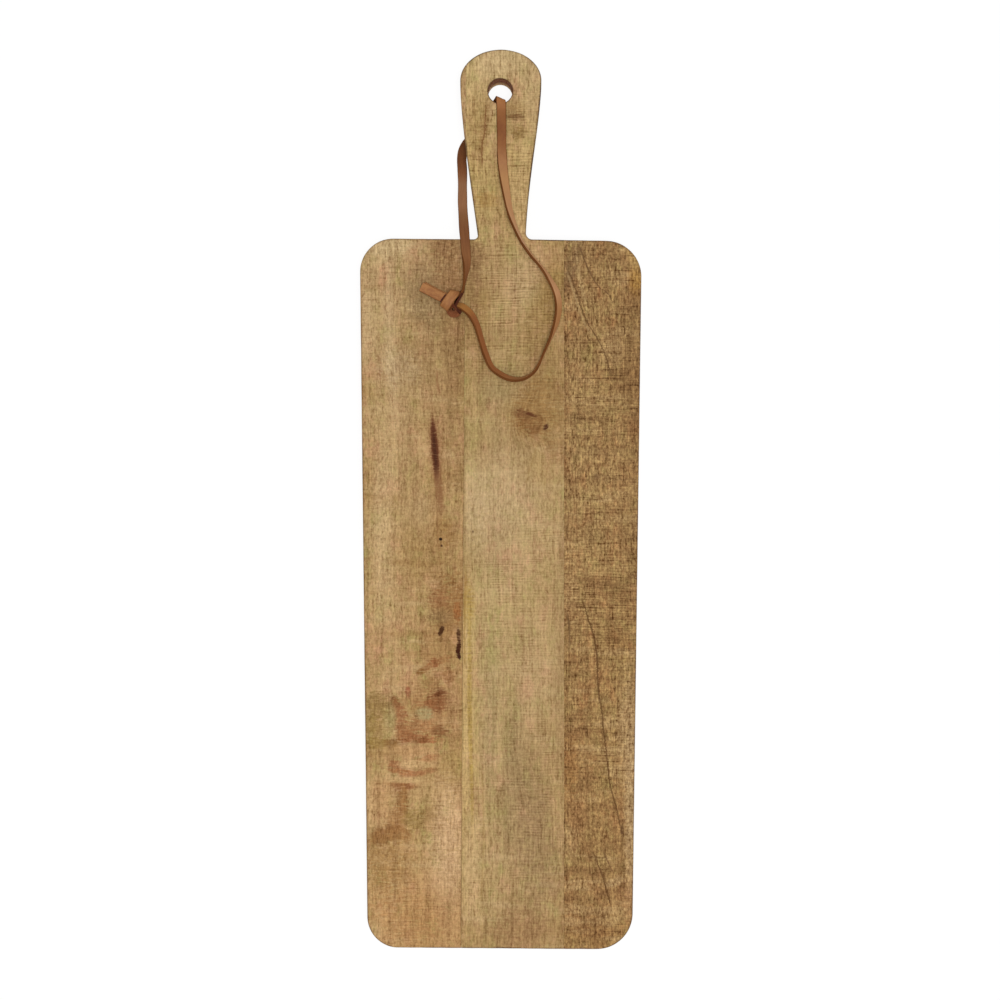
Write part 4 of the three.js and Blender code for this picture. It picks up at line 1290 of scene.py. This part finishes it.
middleStains = (
    (12, 122, 10, 15, (196, 164, 122), 0.5, 1.4, 0.6, -12), (22, 133, 9, 7, (200, 164, 120), 0.55),
    (-11.5, 108, 4.5, 14, (150, 116, 66), 0.55, 1.6, 0.6), (14, 40, 24, 24, (164, 132, 84), 0.42, 1.8),
    (-12, -24, 14, 11, (170, 140, 94), 0.35, 1.8), (8, -243, 32, 8, (156, 120, 74), 0.5, 1.6, 0.6),
    (33, -184, 3, 16, (196, 160, 112), 0.45, 1.4, 0.6), (-6, 128, 8, 12, (166, 132, 88), 0.5, 1.4, 0.7, 10),
    (-13.6, 135.9, 5, 6, (136, 100, 62), 0.65, 1.6, 0.6, 20), (-18, 118, 3.5, 30, (140, 106, 66), 0.5, 1.2),
    (28.2, 119, 6, 22, (158, 120, 72), 0.6, 1.4, 0.6), (22, 103, 8, 24, (148, 118, 66), 0.6, 1.6, 0.6, -22),
    (-12, 82, 7, 26, (156, 124, 76), 0.5, 1.4, 0.7, 4), (4, 86, 10, 14, (172, 138, 92), 0.4, 1.4),
    (3, 62, 14, 10, (162, 140, 96), 0.5, 1.4), (24, 74, 9, 16, (154, 122, 74), 0.5, 1.6, 0.7, 8),
    (20, 50, 13, 15, (154, 114, 64), 0.75, 2.2, 0.7, -10),
    (17.3, 43.8, 6.5, 5.5, (138, 92, 50), 0.7, 2.2, 0.6, -20),
    (14.8, 47.6, 5.6, 2.4, (116, 74, 42), 0.9, 2.4, 0.6, -14),
    (21.5, 38.5, 3.5, 3.5, (134, 92, 52), 0.75, 2.4, 0.7, -30),
    (29.8, 29, 6, 8, (146, 108, 66), 0.6, 1.6, 0.7, 20), (14, 27, 4, 6, (150, 122, 74), 0.45, 1.8, 0.7, 24),
    (20.5, 16, 6, 8, (182, 150, 96), 0.55, 1.4, 0.7, 12), (0, 0, 18, 26, (200, 170, 128), 0.42, 1.2, 0.8),
    (-14, -3, 6, 20, (204, 174, 132), 0.4, 1.2, 0.8), (-20.4, -52, 2, 14, (166, 132, 78), 0.6, 1.2, 0.6),
    (-20.3, -122, 2.2, 62, (206, 172, 114), 0.65, 1.2, 0.5),
    (-17.2, -118, 1.2, 62, (174, 142, 72), 0.75, 1.4, 0.5, 0.6),
    (-14.9, -112, 1.7, 54, (190, 160, 100), 0.3, 1.4, 0.5, 1),
    (-18.4, -58, 3, 10, (176, 142, 72), 0.6, 1.4, 0.6),
    (-5.8, -124, 3.2, 40, (154, 134, 92), 0.28, 1.4, 0.7, -2),
    (6, -154, 5, 38, (152, 128, 86), 0.55, 1.4, 0.7, -4),
    (13, -166, 11, 30, (150, 120, 80), 0.55, 1.5, 0.7, -4),
    (20, -196, 11, 32, (150, 120, 84), 0.5, 1.5, 0.7, 4), (10, -236, 14, 12, (156, 116, 78), 0.55, 1.5),
    (-17, -206, 4.5, 24, (208, 174, 126), 0.5, 1.2, 0.6), (32, -90, 4, 60, (164, 132, 90), 0.45, 1.2),
    (20, -92, 10, 26, (192, 160, 116), 0.35, 1.2, 0.8),
    (-8.9, 208, 2.4, 18, (152, 112, 66), 0.5, 1.6, 0.6, -6),
    (-14.7, 219.4, 0.9, 5, (128, 92, 52), 0.6, 1.2, 0.6), (7, 215.5, 5.6, 5.5, (148, 112, 66), 0.65, 1.8),
    (7.9, 212.4, 4.4, 1.9, (120, 84, 48), 0.8, 2.4, 0.6),
    (9.6, 203.6, 4.4, 3.4, (134, 102, 52), 0.75, 2, 0.6),
    (-8.3, 166.5, 6, 4.2, (168, 124, 62), 0.5, 1.6, 0.6, 4), (0, 176, 9, 24, (176, 142, 88), 0.35, 1.4, 0.8),
    (-13, 205, 5, 20, (160, 126, 74), 0.45, 1.4, 0.7, -6), (2, 244, 14, 7, (198, 170, 124), 0.45, 1.2),
    (19, 222, 5, 22, (192, 162, 116), 0.45, 1.2, 0.7, 6), (-4, 240, 8, 6, (214, 184, 136), 0.45, 1.4),
    (11, 163, 5, 24, (208, 174, 122), 0.6, 1.4), (14, 190, 3, 12, (206, 172, 120), 0.4, 1.4),
    (-15, 127, 4, 13, (140, 106, 68), 0.65, 1.4, 0.6), (25, 54, 9, 12, (150, 116, 70), 0.35, 1.8),
    (-11, 29, 6, 12, (156, 124, 78), 0.5),
)
middleDarkMarks = (
    (16.2, 47.3, 3.4, 0.9, (96, 54, 28), 1, 1.2, 0.6, -20),
    (25, 40.2, 1.1, 1.7, (84, 48, 26), 1.5, 0.8, 0.5, -35),
    (-15.5, -17.8, 0.6, 0.7, (96, 72, 52), 0.8, 0.2, 0.4),
    (-15.8, -22.5, 0.4, 0.5, (120, 92, 64), 0.6, 0.2, 0.4),
    (7.6, 115.8, 0.6, 0.9, (110, 74, 46), 0.6, 0.4, 0.5), (2.6, 72.6, 0.5, 0.6, (116, 84, 56), 0.5, 0.4, 0.5),
)
middleSawZones = (
    (6, 106, 24, 36, sawn, 1, 1.5, 0.5), (20, 52, 15, 12, sawn, 0.7, 1.5, 0.6),
    (12, 190, 10, 30, sawn, 0.6, 1.5, 0.5), (-10, 176, 9, 34, sawn, 0.35, 1.5, 0.6),
    (14, -150, 16, 60, sawn, 0.35, 1.5, 0.6), (13, -50, 22, 32, sawn, 0.6, 1.5, 0.6),
    (-4, 6, 18, 30, planed, 0.7, 1.5, 0.6),
)
middleVeins = (
    (((-19.8, -40), (-20.3, -62), (-20, -92)), 0.6, (164, 126, 66), 0.55),
    (((-7.1, 219), (-8.3, 214), (-9, 204), (-10.4, 196), (-10.4, 184)), 0.55, (118, 72, 38), 0.75),
    (((14, 8), (17, 20), (21.5, 30), (28, 34), (33, 30)), 0.5, (158, 124, 72), 0.4),
    (((24, 2), (25, 14), (28, 24)), 0.5, (156, 124, 72), 0.35),
    (((3, 20), (6, 34), (9, 42)), 0.5, (154, 118, 72), 0.35),
    (((-5, -96), (-4.6, -130), (-6.2, -168)), 0.5, (150, 126, 78), 0.45),
    (((2.4, -86), (1, -120), (2.8, -150)), 0.45, (156, 130, 84), 0.4),
    (((-11, -150), (-10.6, -186), (-11.4, -222)), 0.5, (166, 132, 78), 0.4),
)
middlePlank = dict(
    woodLook, shift=(71, 15, 23), wander=6, knots=((22, 44, 9, 8, 0.3),),
    along=(
        (-250, (174, 138, 88)), (-205, (175, 142, 94)), (-160, (173, 140, 93)), (-110, (179, 149, 101)),
        (-55, (186, 156, 107)), (0, (184, 155, 108)), (55, (164, 134, 86)), (100, (173, 140, 91)),
        (145, (181, 150, 95)), (190, (194, 164, 102)), (215, (196, 165, 110)), (250, (220, 192, 142)),
    ),
    across=(
        (-23, (189, 158, 103)), (-17, (191, 160, 106)), (-11, (187, 158, 107)), (-4, (183, 155, 107)),
        (3, (181, 151, 104)), (10, (180, 149, 102)), (17, (179, 147, 100)), (24, (177, 145, 96)),
        (30, (175, 142, 93)), (36, (169, 134, 87)),
    ),
    oliveTone=(166, 150, 90), warmTone=(196, 150, 112), stains=middleStains, veins=middleVeins,
    darkMarks=middleDarkMarks, sawZones=middleSawZones,
    vigour=(
        (-250, 1.25), (-170, 1.2), (-120, 1), (-60, 0.9), (60, 1), (105, 1.15), (165, 1.35), (250, 1.4),
    ),
    sawEverywhere=0.35, fibres=1.6, longFibres=1.2, speckle=1.35, bands=1, sawHairs=1.6, sawTeeth=0.6,
    scores=0.26, splits=0.18, handleRough=1.8, rows=0.3, rowDeep=(164, 132, 84), rowPale=(204, 174, 128),
    poreFrom=0.56, pores=0.25, darkGain=(0.3, 0.19, 0.07), paleGain=(1.6, 1.66, 1.7), endDeep=(124, 98, 62),
    endPale=(168, 138, 94), pith=(8, 60), edgeDark=1, edgeTone=(82, 54, 32), rimTone=(80, 44, 26),
)
rightStains = (
    (74.5, 121, 3.6, 7, (186, 136, 58), 0.7, 1.2, 0.6),
    (73.5, 134, 3, 7, (206, 168, 104), 0.55, 1.2, 0.6, 20),
    (39.5, 130, 3.4, 12, (120, 90, 62), 0.5, 1.6, 0.7, -14),
    (44, 122, 1.2, 16, (184, 152, 104), 0.5, 1.4, 0.6, 10), (68, 70, 8, 24, (136, 102, 62), 0.4, 1.8),
    (65, -78, 8, 8, (136, 100, 58), 0.55, 2), (72, 100, 6, 34, (138, 104, 64), 0.45),
    (74, 40, 5, 34, (132, 96, 58), 0.45), (71, -6, 6, 30, (150, 114, 72), 0.35),
    (46, 47, 11, 6, (134, 104, 64), 0.35, 2), (57, 26, 20, 3, (136, 104, 66), 0.4, 2),
    (57, 11.5, 20, 2.2, (132, 100, 62), 0.35, 2.4), (57, -20, 20, 2.4, (138, 106, 66), 0.35, 2),
    (57, -47, 20, 2.6, (140, 108, 68), 0.2, 2.4), (71, -122, 5, 22, (192, 158, 112), 0.6),
    (73, -160, 3.6, 34, (186, 154, 110), 0.75, 1.6, 0.6), (73, -202, 3.6, 20, (186, 152, 108), 0.6, 1.6, 0.6),
    (37, -14, 3, 8, (140, 104, 64), 0.4), (61, 84, 6, 9, (186, 152, 106), 0.4, 1.8),
    (38, -53, 5, 10, (186, 150, 102), 0.35, 1.8), (38, -190, 4, 9, (180, 146, 100), 0.4, 1.8),
    (38.8, -148.6, 4, 15, (158, 112, 64), 0.6, 2.4, 0.6),
    (42.9, -174.8, 5, 13, (162, 118, 74), 0.5, 2.2, 0.6, -8),
    (48.6, -194, 4.6, 7, (126, 88, 50), 0.5, 2.2, 0.6, -22), (57, -216, 12, 12, (144, 106, 68), 0.25, 1.8),
    (72.2, -225.5, 4.4, 12, (172, 124, 84), 0.4, 1.6, 0.6, 12), (51, -239, 9, 9, (134, 94, 54), 0.6),
    (64, -212, 6, 2.2, (190, 158, 112), 0.5, 2.4, 0.6, 24),
)
rightDarkMarks = (
    (53, 13, 1.2, 1.6, (92, 62, 40), 0.5, 1.2, 0.6, 30), (67.4, -183.5, 0.9, 3, (84, 56, 34), 0.6, 1, 0.6),
)
rightSawZones = (
    (57, 60, 20, 40, sawn, 0.5, 1.5), (57, -56, 22, 28, deepSawn, 0.9, 1.5, 0.6),
)
rightVeins = (
    (((42.7, 142.6), (49.9, 124.8), (54.7, 117.5), (58.8, 114.7), (62.1, 108)), 0.5, (100, 70, 42), 0.75),
    (((37.6, 127), (41.9, 114.7), (44.9, 104.1), (50.7, 92.5), (54, 86.9), (58.8, 75.8), (60.7, 68.8)),
     0.55, (96, 66, 36), 0.8),
    (((36.4, 127), (40.6, 114), (43.6, 103.4), (49.4, 91.6)), 0.7, (190, 160, 112), 0.4),
    (((45.4, -55.7), (48.1, -65.7), (51, -74.9), (53, -86.8), (53.8, -101.9), (55.5, -114.7)),
     0.6, (92, 60, 30), 0.85),
    (((55.5, -112), (57.7, -131.9), (59.4, -144.7), (61, -157.5), (64.4, -169.8), (67.4, -182.9)),
     0.55, (92, 60, 28), 0.85),
    (((36.2, -62.3), (37.6, -69), (37.9, -82.4)), 0.5, (110, 82, 52), 0.75),
    (((50.8, -194.3), (53.5, -200.4), (59.9, -221.6), (61, -227.1)), 0.55, (92, 60, 28), 0.8),
    (((57.1, -194.3), (62.5, -207.4)), 0.45, (104, 72, 44), 0.75),
    (((51.5, -196), (56, -207), (60, -216)), 0.8, (112, 78, 46), 0.4),
)
rightPlank = dict(
    woodLook, shift=(33, 91, 51), wander=4,
    along=(
        (-250, (158, 116, 66)), (-205, (156, 118, 71)), (-160, (152, 114, 68)), (-110, (150, 115, 68)),
        (-55, (158, 123, 77)), (0, (166, 132, 85)), (55, (165, 131, 84)), (100, (150, 115, 73)),
        (145, (146, 109, 70)),
    ),
    across=(
        (34, (158, 122, 78)), (40, (163, 128, 83)), (48, (167, 133, 86)), (56, (166, 132, 84)),
        (64, (165, 130, 83)), (71, (160, 124, 78)), (79, (154, 116, 72)),
    ),
    olive=0.5, oliveTone=(152, 130, 76), warm=0.6, warmTone=(162, 112, 70), stains=rightStains,
    veins=rightVeins, darkMarks=rightDarkMarks, sawZones=rightSawZones,
    vigour=((-250, 1), (-150, 1.05), (-60, 1.3), (60, 1.4), (150, 1.45)),
    sawEverywhere=0.8, fibres=2.3, speckle=2.5, bands=1.1, tint=0.35, sawHairs=1.5, sawTeeth=0.3,
    scores=0.5, splits=0.5, handleRough=1, rows=0.62, rowDeep=(132, 94, 56), rowPale=(186, 152, 104),
    poreFrom=0.5, pores=0.4, darkGain=(0.26, 0.16, 0.06), paleGain=(1.95, 2.1, 2.1), endDeep=(100, 74, 46),
    endPale=(146, 112, 72), pith=(92, -22), edgeDark=0.6, edgeTone=(96, 64, 40), holeWallLight=(150, 110, 70),
    holeDeep=(120, 80, 52), rimTone=(84, 48, 28), sawDepth=0.22, reliefShare=0.6,
)

outline, plan, triangles = planMesh()
edgeGap = distanceTo(plan, outline)
holeGap = np.maximum(np.linalg.norm(plan - holeCentre, axis=1) - holeRadius, 0)
centres = plan[triangles].mean(axis=1)
fromAxis = np.linalg.norm(centres - holeCentre, axis=1)
onWood = insideOf(centres, outline) & (fromAxis > holeRadius * boardMesh["rimShare"])
plankNumber = np.where(onWood, plankOf(centres), -1)
leftWood = woodMaterial("leftPlankWood", leftPlank)
planks = (
    ("plank_left", leftWood, "left_stave", "light_wood", 4),
    ("plank_middle", woodMaterial("middlePlankWood", middlePlank), "middle_stave", "pale_wood", 8),
    ("plank_right", woodMaterial("rightPlankWood", rightPlank), "right_stave", "brown_wood", 12),
    ("handle_sliver", leftWood, "handle_edge_strip", "light_wood", 16),
)
for number, (plankName, plankWood, plankNode, plankSlot, plankSeed) in enumerate(planks):
    own = triangles[plankNumber == number]
    plank = plankSolid(plankName, plan, own, edgeGap, holeGap, plankWood, plankSeed)
    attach(plank, rootBody)
    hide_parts(plankNode)
    print(plankName, "has", len(plank.data.polygons), "faces")


# Floor, world and lamps

studio = {
    "floorHalf": 6.0,
    "floorGap": 0.0001,
    "floorTone": (0.8, 0.8, 0.8, 1),
    "floorSeen": (0.13, 0.13, 0.13, 1),
    "floorGlow": 0.9,
    "skyLevel": 0.44,
    "keyPlace": (0.14, -0.2, 1.75),
    "keySize": 0.8,
    "keyPower": 16.4,
}


def seenDirectly(tree):
    # 1 for the camera, and for what shows in gloss or through glass
    path = addNode(tree, "ShaderNodeLightPath").outputs
    mirrored = calc(tree, "ADD", path["Is Glossy Ray"], path["Is Transmission Ray"], clamp=True)
    return calc(tree, "ADD", path["Is Camera Ray"], mirrored, clamp=True)


def makeFloor(look):
    half = look["floorHalf"]
    level = -look["floorGap"]
    square = ((-half, -half), (half, -half), (half, half), (-half, half))
    corners = np.array([(x, y, level) for x, y in square])
    material, tree = newTree("paleFloor")
    seen = seenDirectly(tree)
    tone = blendOf(tree, seen, look["floorTone"], look["floorSeen"])
    matt = addNode(tree, "ShaderNodeBsdfDiffuse", {"Color": tone}).outputs[0]
    glow = addNode(tree, "ShaderNodeEmission", {"Strength": times(tree, seen, look["floorGlow"])}).outputs[0]
    both = addNode(tree, "ShaderNodeAddShader", {0: matt, 1: glow}).outputs[0]
    addNode(tree, "ShaderNodeOutputMaterial", {"Surface": both})
    buildMesh("floor", corners, [[0, 1, 2, 3]], material)


def makeWorld(look):
    world = bpy.data.worlds.new("studioSky")
    world.use_nodes = True
    scene.world = world
    tree = world.node_tree
    tree.nodes.clear()
    level = between(tree, seenDirectly(tree), 0.0, 1.0, look["skyLevel"], 1.0, smooth=False)
    sky = addNode(tree, "ShaderNodeBackground", {"Color": (1, 1, 1, 1), "Strength": level}).outputs[0]
    addNode(tree, "ShaderNodeOutputWorld", {"Surface": sky})


def makeKey(look):
    lamp = bpy.data.lights.new("softKey", "AREA")
    lamp.shape = "DISK"
    lamp.size = look["keySize"]
    lamp.energy = look["keyPower"]
    key = bpy.data.objects.new("softKey", lamp)
    key.location = look["keyPlace"]
    toBoard = -key.location
    key.rotation_euler = toBoard.to_track_quat("-Z", "Y").to_euler()
    scene.collection.objects.link(key)


makeFloor(studio)
makeWorld(studio)
makeKey(studio)
print("floor, sky and key lamp are set")
